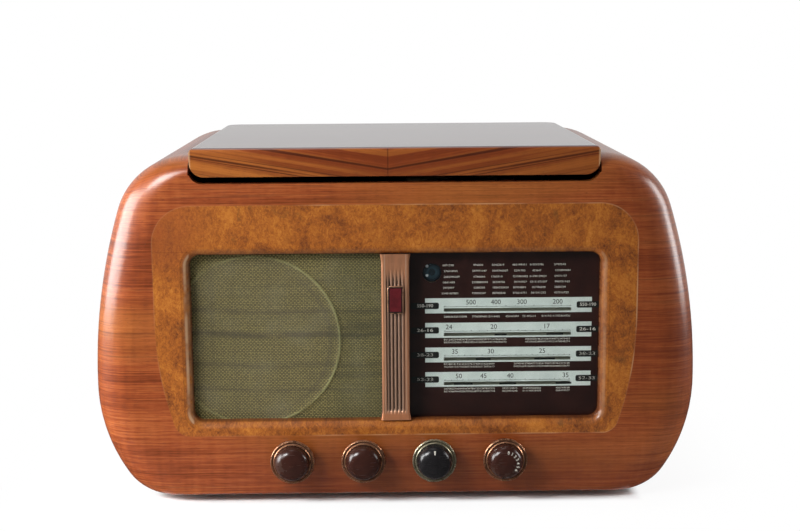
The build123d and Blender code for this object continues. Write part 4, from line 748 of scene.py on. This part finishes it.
def slab(outline, front, back, holes=()):
    """A thin plate with an outline and holes that are loops of (x, z) in millimetres."""
    made = bmesh.new()
    loops = []
    for loop in (outline, *holes):
        verts = [made.verts.new((x * MM, front, z * MM)) for x, z in loop]
        loops.append([made.edges.new((verts[k], verts[(k + 1) % len(verts)])) for k in range(len(verts))])
    bmesh.ops.triangle_fill(made, edges=[e for loop in loops for e in loop], use_beauty=True)
    for face in made.faces:
        if face.normal.y > 0:
            face.normal_flip()
    grown = bmesh.ops.extrude_face_region(made, geom=list(made.faces))
    for vert in grown["geom"]:
        if isinstance(vert, bmesh.types.BMVert):
            vert.co.y = back
    bmesh.ops.recalc_face_normals(made, faces=list(made.faces))
    return made


def corners(left, low, right, high):
    return [(left, low), (right, low), (right, high), (left, high)]


def rounded(left, low, right, high, radius):
    """Outline of a rounded rectangle, anticlockwise from its lower right corner."""
    loop = []
    for x, z, start in ((right - radius, low + radius, -90), (right - radius, high - radius, 0),
                        (left + radius, high - radius, 90), (left + radius, low + radius, 180)):
        for k in range(CORNER_STEPS + 1):
            turn = radians(start + 90 * k / CORNER_STEPS)
            loop.append((x + radius * cos(turn), z + radius * sin(turn)))
    return loop


def round_loop(x, z, radius):
    turns = [2 * pi * k / CIRCLE_STEPS for k in range(CIRCLE_STEPS)]
    return [(x + radius * cos(turn), z + radius * sin(turn)) for turn in turns]


def finish_mesh(made):
    mesh = bpy.data.meshes.new("mesh")
    made.to_mesh(mesh)
    made.free()
    return mesh


INK_THICK = 0.00004
DIGIT_SHARE = 0.7  # of the font's size


class Sheaf:
    """Many small flat shapes and numbers, gathered into one mesh."""

    def __init__(self):
        self.made = bmesh.new()

    def plate(self, loop, front, back):
        self.take(finish_mesh(slab(loop, front, back)))

    def take(self, mesh):
        self.made.from_mesh(mesh)
        bpy.data.meshes.remove(mesh)

    def number(self, text, place, tall, wide=None, turn=None, thick=INK_THICK):
        """Writes plain numbers about a place, in metres, squeezed to wide and turned if these are given."""
        curve = bpy.data.curves.new("number", "FONT")
        curve.body = text
        curve.align_x = curve.align_y = "CENTER"
        curve.size = tall / DIGIT_SHARE
        curve.extrude = thick / 2
        curve.resolution_u = 3
        holder = bpy.data.objects.new("number", curve)
        mesh = bpy.data.meshes.new_from_object(holder)
        bpy.data.objects.remove(holder)
        bpy.data.curves.remove(curve)
        spread = max(v.co.x for v in mesh.vertices) - min(v.co.x for v in mesh.vertices)
        squeeze = wide / spread if wide else 1.0
        stand = Matrix.Rotation(radians(90), 4, "X")
        lean = turn or Matrix.Identity(4)
        mesh.transform(Matrix.Translation(place) @ lean @ stand @ Matrix.Diagonal((squeeze, 1, 1, 1)))
        self.take(mesh)

    def write(self, number, x, z, tall, wide=None, front=INK_FRONT):
        """Writes a number on the dial, in its millimetres."""
        self.number(str(number), Vector((x * MM, front, z * MM)), tall * MM, wide and wide * MM)

    def mesh(self):
        return finish_mesh(self.made)


def ink(name, colour, fade=0.15):
    """Printed paint with slight unevenness."""
    p = Paint(name)
    clouds = p.cloud(25, detail=2)
    share = p.cloud(260, rough=0.6).step(0.45, 0.75) * fade + clouds.step(0.4, 0.7) * fade
    base = p.mix(share, colour, tuple(0.6 * c for c in colour))
    return p.set(Base_Color=base, Roughness=clouds * 0.1 + 0.45)


def clouded(name, scale, first, second, rough, vary=0.0):
    """Old enamel of two tones that run into one another."""
    p = Paint(name)
    clouds = p.flat(scale, detail=4)
    base = p.mix(clouds.step(0.3, 0.7), first, second)
    return p.set(Base_Color=base, Roughness=clouds * vary + rough)


def maroon_ground():
    """Deep red ground with dust in pale specks."""
    p = Paint("dial_ground")
    clouds = p.flat(30, detail=4, rough=0.6)
    specks = p.cells(p.x * 420, p.z * 420, 0.0).step(0.1, 0.02) * p.flat(45, 3.0).step(0.5, 0.6)
    base = p.mix(clouds.step(0.3, 0.75), (0.024, 0.0045, 0.0034), (0.042, 0.0085, 0.0052))
    base = p.mix(specks * 0.5, base, (0.12, 0.09, 0.06))
    return p.set(Base_Color=base, Roughness=clouds * 0.2 + 0.3)


def dial():
    """The printing on the glass: maroon ground, four pale strips with numbers, and rows of small numbers."""
    rng = random.Random(7)
    slots = [corners(SCALE_LEFT, top - SLOT_TOP - SLOT_TALL, SCALE_RIGHT, top - SLOT_TOP)
             for top in STRIP_TOPS]
    edge = corners(GLASS_LOW.x / MM + GROUND_LEFT_MARGIN, GLASS_LOW.z / MM + GROUND_MARGIN,
                   GLASS_HIGH.x / MM - GROUND_MARGIN, GLASS_HIGH.z / MM - GROUND_MARGIN)
    ground = slab(edge, PRINT_FRONT, FILM_BACK, [*slots, round_loop(EYE_X, EYE_Z, EYE_WINDOW)])
    piece("dial_ground", finish_mesh(ground), maroon_ground())

    pale, dark, white = Sheaf(), Sheaf(), Sheaf()
    for (numbers, shut, label, ticks), top in zip(SCALES, STRIP_TOPS):
        high = top - SLOT_TOP
        low = high - SLOT_TALL
        for bar in ((STRIP_LEFT, high, STRIP_RIGHT, top), (STRIP_LEFT, top - STRIP_TALL, STRIP_RIGHT, low),
                    (STRIP_LEFT, low, SCALE_LEFT, high), (SCALE_RIGHT, low, STRIP_RIGHT, high)):
            pale.plate(corners(*bar), PALE_FRONT, PRINT_FRONT - FILM_STEP)
        for number, x in numbers:
            dark.write(number, x, top - NUMBER_DROP, NUMBER_TALL)
        line = top - TICK_DROP
        dark.plate(corners(SCALE_LEFT, line, SCALE_RIGHT, line + TICK_LINE), INK_FRONT, INK_BACK)
        for k in range(ticks + 1):
            x = SCALE_LEFT + 1 + (SCALE_RIGHT - SCALE_LEFT - 2) * (k / ticks) ** TICK_CROWDING
            tall = TICK_LONG if k % 3 == 0 else TICK_SHORT
            dark.plate(corners(x - TICK_HALF, line, x + TICK_HALF, line + tall), INK_FRONT, INK_BACK)
        for start, end in shut:
            dark.plate(corners(start, low + SHUT_LOW, end, low + SHUT_HIGH), INK_FRONT, PRINT_FRONT)
        middle = top - STRIP_TALL / 2
        for start, end in (TAB_LEFT, TAB_RIGHT):
            tab = rounded(start, middle - TAB_TALL / 2, end, middle + TAB_TALL / 2, TAB_ROUND)
            dark.plate(tab, INK_FRONT, INK_BACK)
            white.write(label, (start + end) / 2, middle, LABEL_TALL, LABEL_WIDE, INK_FRONT - FILM_STEP)

    def row(z, starts_ends, tall):
        for start, end in starts_ends:
            digits = max(3, round((end - start) / DIGIT_WIDE))
            text = "".join(rng.choice("0123456789") for _ in range(digits))
            white.write(text, (start + end) / 2, z, tall, end - start)

    for z in SMALL_LEVELS:
        row(z, [(x + rng.uniform(-1, 1.5), x + rng.uniform(9, 15.5)) for x in SMALL_COLUMNS], ROW_TALL)
    for levels, tall, starts_ends in SMALL_ROWS:
        for z in levels:
            row(z, starts_ends, tall)
    pale_ink = clouded("dial_pale", 60, (0.72, 0.8, 0.77), (0.82, 0.9, 0.87), 0.5)
    piece("dial_strips", pale.mesh(), pale_ink)
    piece("dial_numbers", dark.mesh(), ink("dial_black", (0.012, 0.013, 0.012)))
    piece("dial_small_numbers", white.mesh(), ink("dial_white", (0.9, 0.86, 0.79)))


def clear_glass(name):
    """A pane that lets light straight through and mirrors by its angle."""
    p = Paint(name)
    p.tree.nodes.remove(p.shader)
    smears = new_node(p.tree, "MapRange", Value=p.cloud(35, detail=4), From_Min=0.35, From_Max=0.75,
                      To_Min=0.03, To_Max=0.15)
    mirror = new_node(p.tree, "BsdfGlossy", Roughness=Field(p.tree, smears.outputs["Result"]))
    angle = new_node(p.tree, "LayerWeight", Blend=0.5)
    share = Field(p.tree, angle.outputs["Facing"]) ** 5.0 * 0.92 + 0.035
    blend(p.tree, share, new_node(p.tree, "BsdfTransparent", Color=(0.96, 0.97, 0.96)), mirror)
    return p.material


def turned_mesh(profile, centre, steps=64, closed=False):
    """A solid turned from (radius, distance to the front) pairs, from axis to axis or a closed loop."""
    axis = Vector((0, -1, 0))
    side = axis.orthogonal().normalized()
    other = axis.cross(side)
    turns = [2 * pi * k / steps for k in range(steps)]
    if closed:
        profile = [*profile, profile[0]]
    points = [centre + axis * along + radius * (cos(turn) * side + sin(turn) * other)
              for radius, along in profile for turn in turns]
    made = bmesh.new()
    made.from_mesh(mesh_from(points, grid_faces(len(profile) - 1, steps, closed=True)))
    bmesh.ops.remove_doubles(made, verts=list(made.verts), dist=1e-7)
    bmesh.ops.recalc_face_normals(made, faces=list(made.faces))
    return finish_mesh(made)


LENS_EDGE = 0.0002
LENS_RISE = 0.0006
# Two spots of light on the lens, in millimetres from its middle: across, up and radius
LENS_SPOTS = ((-4.4, 5.6, 1.9), (-4.4, -3.2, 1.7))
QUARTER_TURN = [radians(90 * k / 12) for k in range(1, 13)]


def tuning_eye_lens():
    """Faintly domed dark blue glass over the tuning indicator, low enough for the pointer to pass by."""
    centre = Vector((EYE_X * MM, EYE_FRONT, EYE_Z * MM))
    radius = EYE_WINDOW * MM - LENS_EDGE
    profile = [(0.0, 0.0), (radius, 0.0), (radius, LENS_EDGE)]
    profile += [(radius * cos(turn), LENS_EDGE + LENS_RISE * sin(turn)) for turn in QUARTER_TURN]
    p = Paint("eye_glass")
    away = p.away(centre)
    rays = p.flat(300, detail=2)
    base = p.mix(away.step(0.0086, 0.004), (0.01, 0.016, 0.026), (0.03, 0.06, 0.08))
    base = p.coats(base, (rays.step(0.4, 0.7) * 0.4, (0.012, 0.03, 0.036)),
                   (away.step(0.0036, 0.003) * 0.6, (0.006, 0.007, 0.01)))
    for across, up, size in LENS_SPOTS:
        spot = p.away(centre + Vector((across, 0, up)) * MM).step(size * MM, size * 0.4 * MM)
        base = p.mix(spot, base, (0.8, 0.86, 0.92))
    glass = p.set(Base_Color=base, Roughness=rays * 0.04 + 0.05, Coat_Weight=1.0, Coat_Roughness=0.03)
    mesh = turned_mesh(profile, centre)
    smooth(piece("eye_lens", mesh, glass), 40)


# Marks on the tone and band knobs: the index in millimetres, all depths and the numbers in metres
KNOB_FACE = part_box("band_knob")[0].y
INDEX_TOP, INDEX_TALL = 12.6, 3.2
INDEX_HALF_TOP, INDEX_HALF_FOOT = 0.9, 0.35
INDEX_FRONT, INDEX_BACK = KNOB_FACE + 0.0009, KNOB_FACE + 0.0045
BAND_NUMBERS = 7
BAND_NUMBER_FRONT = KNOB_FACE + 0.0016
BAND_NUMBER_THICK = 0.0014
BAND_NUMBER_REACH = 0.0106
BAND_NUMBER_TALL = 0.0027
BAND_NUMBER_FROM, BAND_NUMBER_STEP = 80, 19  # degrees


def knob_marks():
    """A white index on the tone knob, and plain numbers round the upper right of the band knob."""
    white = ink("knob_paint", (0.66, 0.63, 0.55), fade=0.35)
    centre = middle_of("tone_knob")
    x, top = centre.x / MM, centre.z / MM + INDEX_TOP
    foot = top - INDEX_TALL
    mark = Sheaf()
    mark.plate([(x - INDEX_HALF_TOP, top), (x + INDEX_HALF_TOP, top), (x + INDEX_HALF_FOOT, foot),
                (x - INDEX_HALF_FOOT, foot)], INDEX_FRONT, INDEX_BACK)
    piece("tone_index", mark.mesh(), white, "tone_control")
    centre = middle_of("band_knob")
    numbers = Sheaf()
    for k in range(BAND_NUMBERS):
        turn = radians(BAND_NUMBER_FROM - BAND_NUMBER_STEP * k)
        place = centre + BAND_NUMBER_REACH * Vector((cos(turn), 0, sin(turn)))
        place.y = BAND_NUMBER_FRONT
        lean = Matrix.Rotation(radians(90) - turn, 4, "Y")
        numbers.number(str(k), place, BAND_NUMBER_TALL, turn=lean, thick=BAND_NUMBER_THICK)
    piece("band_numbers", numbers.mesh(), white, "band_control")


# Knob ring's section in millimetres, radius and distance from its back: two beads with a groove between
RING_SECTION = (
    (16.1, 0.0), (19.3, 0.0), (20.3, 1.0), (20.3, 2.7), (20.05, 3.3), (19.6, 3.55), (19.1, 3.4), (18.8, 2.9),
    (18.65, 2.2), (17.75, 2.2), (17.6, 3.1), (17.3, 3.9), (16.9, 4.3), (16.4, 4.2), (16.1, 3.8),
)
RING_MIDDLE = 18.2 * MM


def knob_ring(name, bright, dark):
    """A worn metal ring with its plating gone to brown in the groove."""
    centre = middle_of(f"{name}_ring")
    centre.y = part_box(f"{name}_ring")[1].y
    p = Paint(f"{name}_ring_metal")
    away = p.away(centre)
    groove = (away - RING_MIDDLE).size().step(0.0008, 0.0004)
    stain = p.cloud(260, detail=5, rough=0.7, warp=0.5)
    outer = away.step(0.019, 0.02) * 0.5 + 0.5
    worn = (stain.step(0.42, 0.62) * outer).most(groove * 0.95)
    p.bump(stain, 0.00008, 0.5)
    plated = p.set(Base_Color=p.mix(worn, bright, dark), Roughness=worn * 0.3 + 0.24,
                   Metallic=0.85 - groove * 0.6)
    section = [(radius * MM, along * MM) for radius, along in RING_SECTION]
    mesh = turned_mesh(section, centre, 96, closed=True)
    made = piece(f"{name}_bead", mesh, plated, f"{name}_control")
    smooth(made, 50)
    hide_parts(f"{name}_ring")


def knob_rings():
    for name in ("volume", "tuning", "band"):
        knob_ring(name, (0.72, 0.38, 0.22), (0.085, 0.036, 0.018))
    knob_ring("tone", (0.62, 0.56, 0.4), (0.085, 0.07, 0.038))


def badge_enamel():
    """Blank maroon enamel with a dark line inside a worn copper rim."""
    middle, high = middle_of("pillar_badge"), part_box("pillar_badge")[1]
    p = Paint("badge_enamel")
    cloud = p.cloud(160, detail=4, rough=0.6)
    beside = (high.x - middle.x) - (p.x - middle.x).size()
    inward = beside.least((high.z - middle.z) - (p.z - middle.z).size())
    rim = inward.step(0.0012, 0.0008)
    base = p.coats(
        p.mix(cloud.step(0.35, 0.75) * 0.6, (0.115, 0.012, 0.016), (0.05, 0.008, 0.01)),
        (inward.step(0.0026, 0.0018), (0.012, 0.008, 0.008)),
        (rim * cloud.step(0.25, 0.55), (0.55, 0.3, 0.18)),
    )
    p.bump(cloud, 0.00005, 0.5)
    return p.set(Base_Color=base, Roughness=cloud * 0.15 + 0.15, Metallic=rim * 0.6)


def materials():
    """Finishes of the CAD nodes. The glass's tray is seen in shade through the scale slots."""
    dust = (0.1, 0.09, 0.08)
    give(cabinet_walnut("front_walnut", True), "front_panel")
    give(cabinet_walnut("wrap_walnut", False), "cabinet_wrap")
    give(lid_walnut(), "lid")
    give(plain_wood("bottom_ply", (0.16, 0.09, 0.045), (0.26, 0.16, 0.085), (0.36, 0.24, 0.14)),
         "bottom_board")
    give(plain_wood("deck_veneer", (0.08, 0.028, 0.012), (0.15, 0.055, 0.022), (0.23, 0.095, 0.04),
                    rough=0.4), "motor_board")
    give(plain_wood("back_hardboard", (0.075, 0.042, 0.022), (0.125, 0.072, 0.04), (0.18, 0.11, 0.062),
                    scale=4.0, rough=0.7), "back_cover")
    give(plain_wood("baffle_ply", (0.2, 0.13, 0.07), (0.3, 0.2, 0.12), (0.42, 0.3, 0.19)),
         "baffle_board")
    give(moulded("foot_rubber", (0.018, 0.016, 0.015), dust, rough=0.7), "feet")
    give(metal("screw_zinc", (0.55, 0.53, 0.48), (0.2, 0.17, 0.13), rough=0.35), "cover_screws")
    give(metal("chassis_plate", (0.5, 0.5, 0.48), (0.22, 0.2, 0.17), rough=0.42),
         "chassis", "speaker_frame", "tuning_capacitor", "control_bodies")
    give(metal("aluminium", (0.72, 0.72, 0.72), (0.4, 0.4, 0.4), rough=0.35),
         "chassis_cans", "tuning_rotor")
    give(metal("steel", (0.56, 0.56, 0.56), (0.2, 0.18, 0.16), rough=0.28, brushed=True),
         "volume_shaft", "tuning_shaft", "tone_shaft", "band_shaft", "stay_pin", "lid_stay")
    give(metal("hinge_brass", (0.72, 0.5, 0.2), (0.26, 0.16, 0.07)),
         "hinge_leaves_lower", "hinge_leaves_upper", "left_pulley", "right_pulley")
    give(metal("chrome", (0.78, 0.78, 0.8), (0.4, 0.39, 0.38), rough=0.12, patina=0.2),
         "turntable_spindle", "arm_yoke", "arm_rest")
    give(metal("transformer_iron", (0.1, 0.09, 0.09), (0.03, 0.025, 0.02), rough=0.5),
         "transformers", "speaker_magnet", "motor")
    give(moulded("cone_paper", (0.03, 0.028, 0.026), dust, rough=0.9, bump=0.0002), "speaker_cone")
    give(moulded("bakelite_brown", (0.038, 0.012, 0.008), (0.1, 0.07, 0.05), rough=0.22),
         "volume_knob", "tuning_knob", "band_knob")
    give(moulded("bakelite_black", (0.012, 0.011, 0.012), dust, rough=0.24),
         "tone_knob", "mains_inlet", "lead_sockets")
    give(moulded("drum_board", (0.16, 0.075, 0.03), (0.2, 0.15, 0.1), rough=0.5), "drive_drum")
    give(moulded("ivory", (0.7, 0.6, 0.4), (0.35, 0.26, 0.15), rough=0.3),
         "pickup_arm", "pickup_head", "arm_pedestal")
    give(moulded("stop_ivory", (0.66, 0.56, 0.38), (0.3, 0.22, 0.13), rough=0.32), "stop_lever")
    give(badge_enamel(), "pillar_badge")
    give(moulded("pointer_red", (0.42, 0.03, 0.02), (0.2, 0.1, 0.08), rough=0.4), "pointer")
    give(moulded("rubber", (0.02, 0.019, 0.018), (0.08, 0.07, 0.06), rough=0.75), "drive_roller")
    give(moulded("valve_silver", (0.3, 0.31, 0.32), (0.05, 0.05, 0.05), rough=0.12), "valves", "dial_lamps")
    give(moulded("eye_body", (0.02, 0.022, 0.026), dust, rough=0.2), "tuning_eye")
    give(clear_glass("dial_glass"), "dial_glass")
    give(clouded("plate_green", 40, (0.6, 0.62, 0.47), (0.74, 0.75, 0.6), 0.4, vary=0.2), "dial_plate")
    give(cord_twist(), "dial_cord")
    give(platter_paint(), "platter")
    give(mat_rubber(), "platter_mat")


def cord_twist():
    """Twisted drive cord: light and dark strands."""
    p = Paint("cord_twist")
    twist = ((p.x + p.z * 1.7) * 2600).sine()
    base = p.mix(twist.step(-0.4, 0.6), (0.1, 0.075, 0.045), (0.42, 0.34, 0.22))
    p.bump(twist, 0.0001, 0.6)
    return p.set(Base_Color=base, Roughness=0.8)


PLATTER_CENTRE = middle_of("platter")
MAT_RIB_PITCH = 0.0032


def platter_paint():
    """Hammered brown enamel with a bright turned rim."""
    p = Paint("platter_enamel")
    away = p.away(PLATTER_CENTRE, "y")
    hammer = p.cells(p.x * 420, p.y * 420, p.z * 420).step(0.1, 0.8)
    base = p.mix(hammer, (0.16, 0.075, 0.045), (0.1, 0.045, 0.028))
    rim = away.step(0.1245, 0.125)
    base = p.mix(rim, base, (0.6, 0.57, 0.52))
    p.bump(hammer, 0.0002, 0.5)
    return p.set(Base_Color=base, Roughness=hammer * 0.15 + 0.25, Metallic=rim * 0.8 + 0.1)


def mat_rubber():
    """Ribbed rubber mat: raised rings with a plain middle."""
    p = Paint("mat_rubber")
    away = p.away(PLATTER_CENTRE, "y")
    ribs = (away * (2 * pi / MAT_RIB_PITCH)).sine().step(-0.3, 0.5)
    ringed = away.step(0.04, 0.042) * away.step(0.117, 0.115)
    dust = p.noise(p.x * 60, p.y * 60, 0.0, detail=5, rough=0.7).step(0.4, 0.7)
    base = p.mix(ribs * ringed, (0.035, 0.014, 0.01), (0.062, 0.026, 0.018))
    base = p.mix(dust * 0.25, base, (0.2, 0.16, 0.12))
    p.bump(ribs * ringed, 0.0006, 0.8)
    return p.set(Base_Color=base, Roughness=dust * 0.2 + 0.6)


# Floor, backdrop and lights
FLOOR_HALF = 6.0
FLOOR_FRONT = -0.3
UNDER_HALF = 0.222
UNDER_DEPTH = 0.158
BACKDROP_Y = 3.2
BACKDROP_HIGH = 5.0
BACKDROP_BEND = 1.2
# What mirrors see: how bright the dark side of the room is, and how much brighter the side at the back
ROOM_DARK = 0.06
ROOM_BRIGHT = 0.62
ROOM_FILL = 0.25


def ray_kinds(tree):
    """Fields that are 1 for rays from the lens, from mirrors, and through glass."""
    rays = new_node(tree, "LightPath").outputs
    return [Field(tree, rays[f"Is {kind} Ray"]) for kind in ("Camera", "Glossy", "Transmission")]


def white_stage_material():
    """White paper that keeps the object's shadow and otherwise shows as white."""
    p = Paint("paper")
    p.bump(p.cloud(300), 0.0001, 0.1)
    p.set(Base_Color=(0.93, 0.935, 0.94), Roughness=0.9, Specular_IOR_Level=0.0)
    out = (p.x.size() - UNDER_HALF).most(p.y.size() - UNDER_DEPTH)
    shown = out.step(-0.004, 0.01) * 0.9 + out.step(0.0, 0.16) * 0.1
    lens_ray, mirror_ray, glass_ray = ray_kinds(p.tree)
    mirrored = p.y.step(0.5, 1.8) * ROOM_BRIGHT + ROOM_DARK
    glow = new_node(p.tree, "Emission", Color=(1, 1, 1), Strength=1.0 - mirror_ray * (1.0 - mirrored))
    share = (lens_ray.most(glass_ray) * shown).most(mirror_ray * out.step(-0.004, 0.004))
    blend(p.tree, share, p.shader, glow)
    return p.material


def stage():
    bend_from = BACKDROP_Y - BACKDROP_BEND
    profile = [(FLOOR_FRONT, FLOOR_Z), (bend_from, FLOOR_Z)]
    profile += [(bend_from + BACKDROP_BEND * sin(turn), FLOOR_Z + BACKDROP_BEND * (1 - cos(turn)))
                for turn in QUARTER_TURN]
    profile.append((BACKDROP_Y, BACKDROP_HIGH))
    points = [(x, y, z) for y, z in profile for x in (-FLOOR_HALF, FLOOR_HALF)]
    faces = grid_faces(len(profile) - 1, 2)
    paper = new_object("paper", mesh_from(points, faces))
    paper.data.materials.append(white_stage_material())
    smooth(paper, 60)


# Lamps: place, what each is aimed at, width, height and watts
LAMPS = {
    "left_softbox": ((-1.25, -0.3, 0.4), (-0.2, -0.12, 0.2), 0.8, 0.62, 21),
    "right_strip": ((1.2, -0.08, 0.46), (0.25, -0.08, 0.22), 0.34, 0.7, 8),
    "key": ((-0.75, -0.78, 0.78), (0.0, -0.16, 0.14), 0.45, 0.35, 11.5),
    "overhead": ((-0.1, 0.1, 1.7), (0.0, 0.0, 0.2), 0.9, 0.7, 4),
}


def lights():
    for name, (place, target, width, height, watts) in LAMPS.items():
        data = bpy.data.lights.new(name, "AREA")
        data.shape = "RECTANGLE"
        data.size, data.size_y, data.energy = width, height, watts
        lamp = new_object(name, data)
        lamp.location = place
        lamp.rotation_euler = (Vector(target) - Vector(place)).to_track_quat("-Z", "Y").to_euler()
    world = bpy.data.worlds.new("studio")
    bpy.context.scene.world = world
    world.use_nodes = True
    tree = world.node_tree
    toward_back = split(tree, new_node(tree, "TexCoord").outputs["Generated"])[1].step(0.25, 0.8)
    seen, mirrored, passed = ray_kinds(tree)
    mirrored = mirrored.most(passed)
    room = toward_back * ROOM_BRIGHT + ROOM_DARK
    level = seen + (1.0 - seen) * (mirrored * room + (1.0 - mirrored) * ROOM_FILL)
    ground = tree.nodes["Background"]
    plug(tree, ground.inputs["Strength"], level)
    plug(tree, ground.inputs["Color"], (1, 1, 1))


speaker_cloth()
pillar()
dial()
tuning_eye_lens()
knob_marks()
knob_rings()
materials()
stage()
lights()
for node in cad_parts.values():
    smooth(node, 30)
bpy.context.scene.view_settings.view_transform = "Standard"
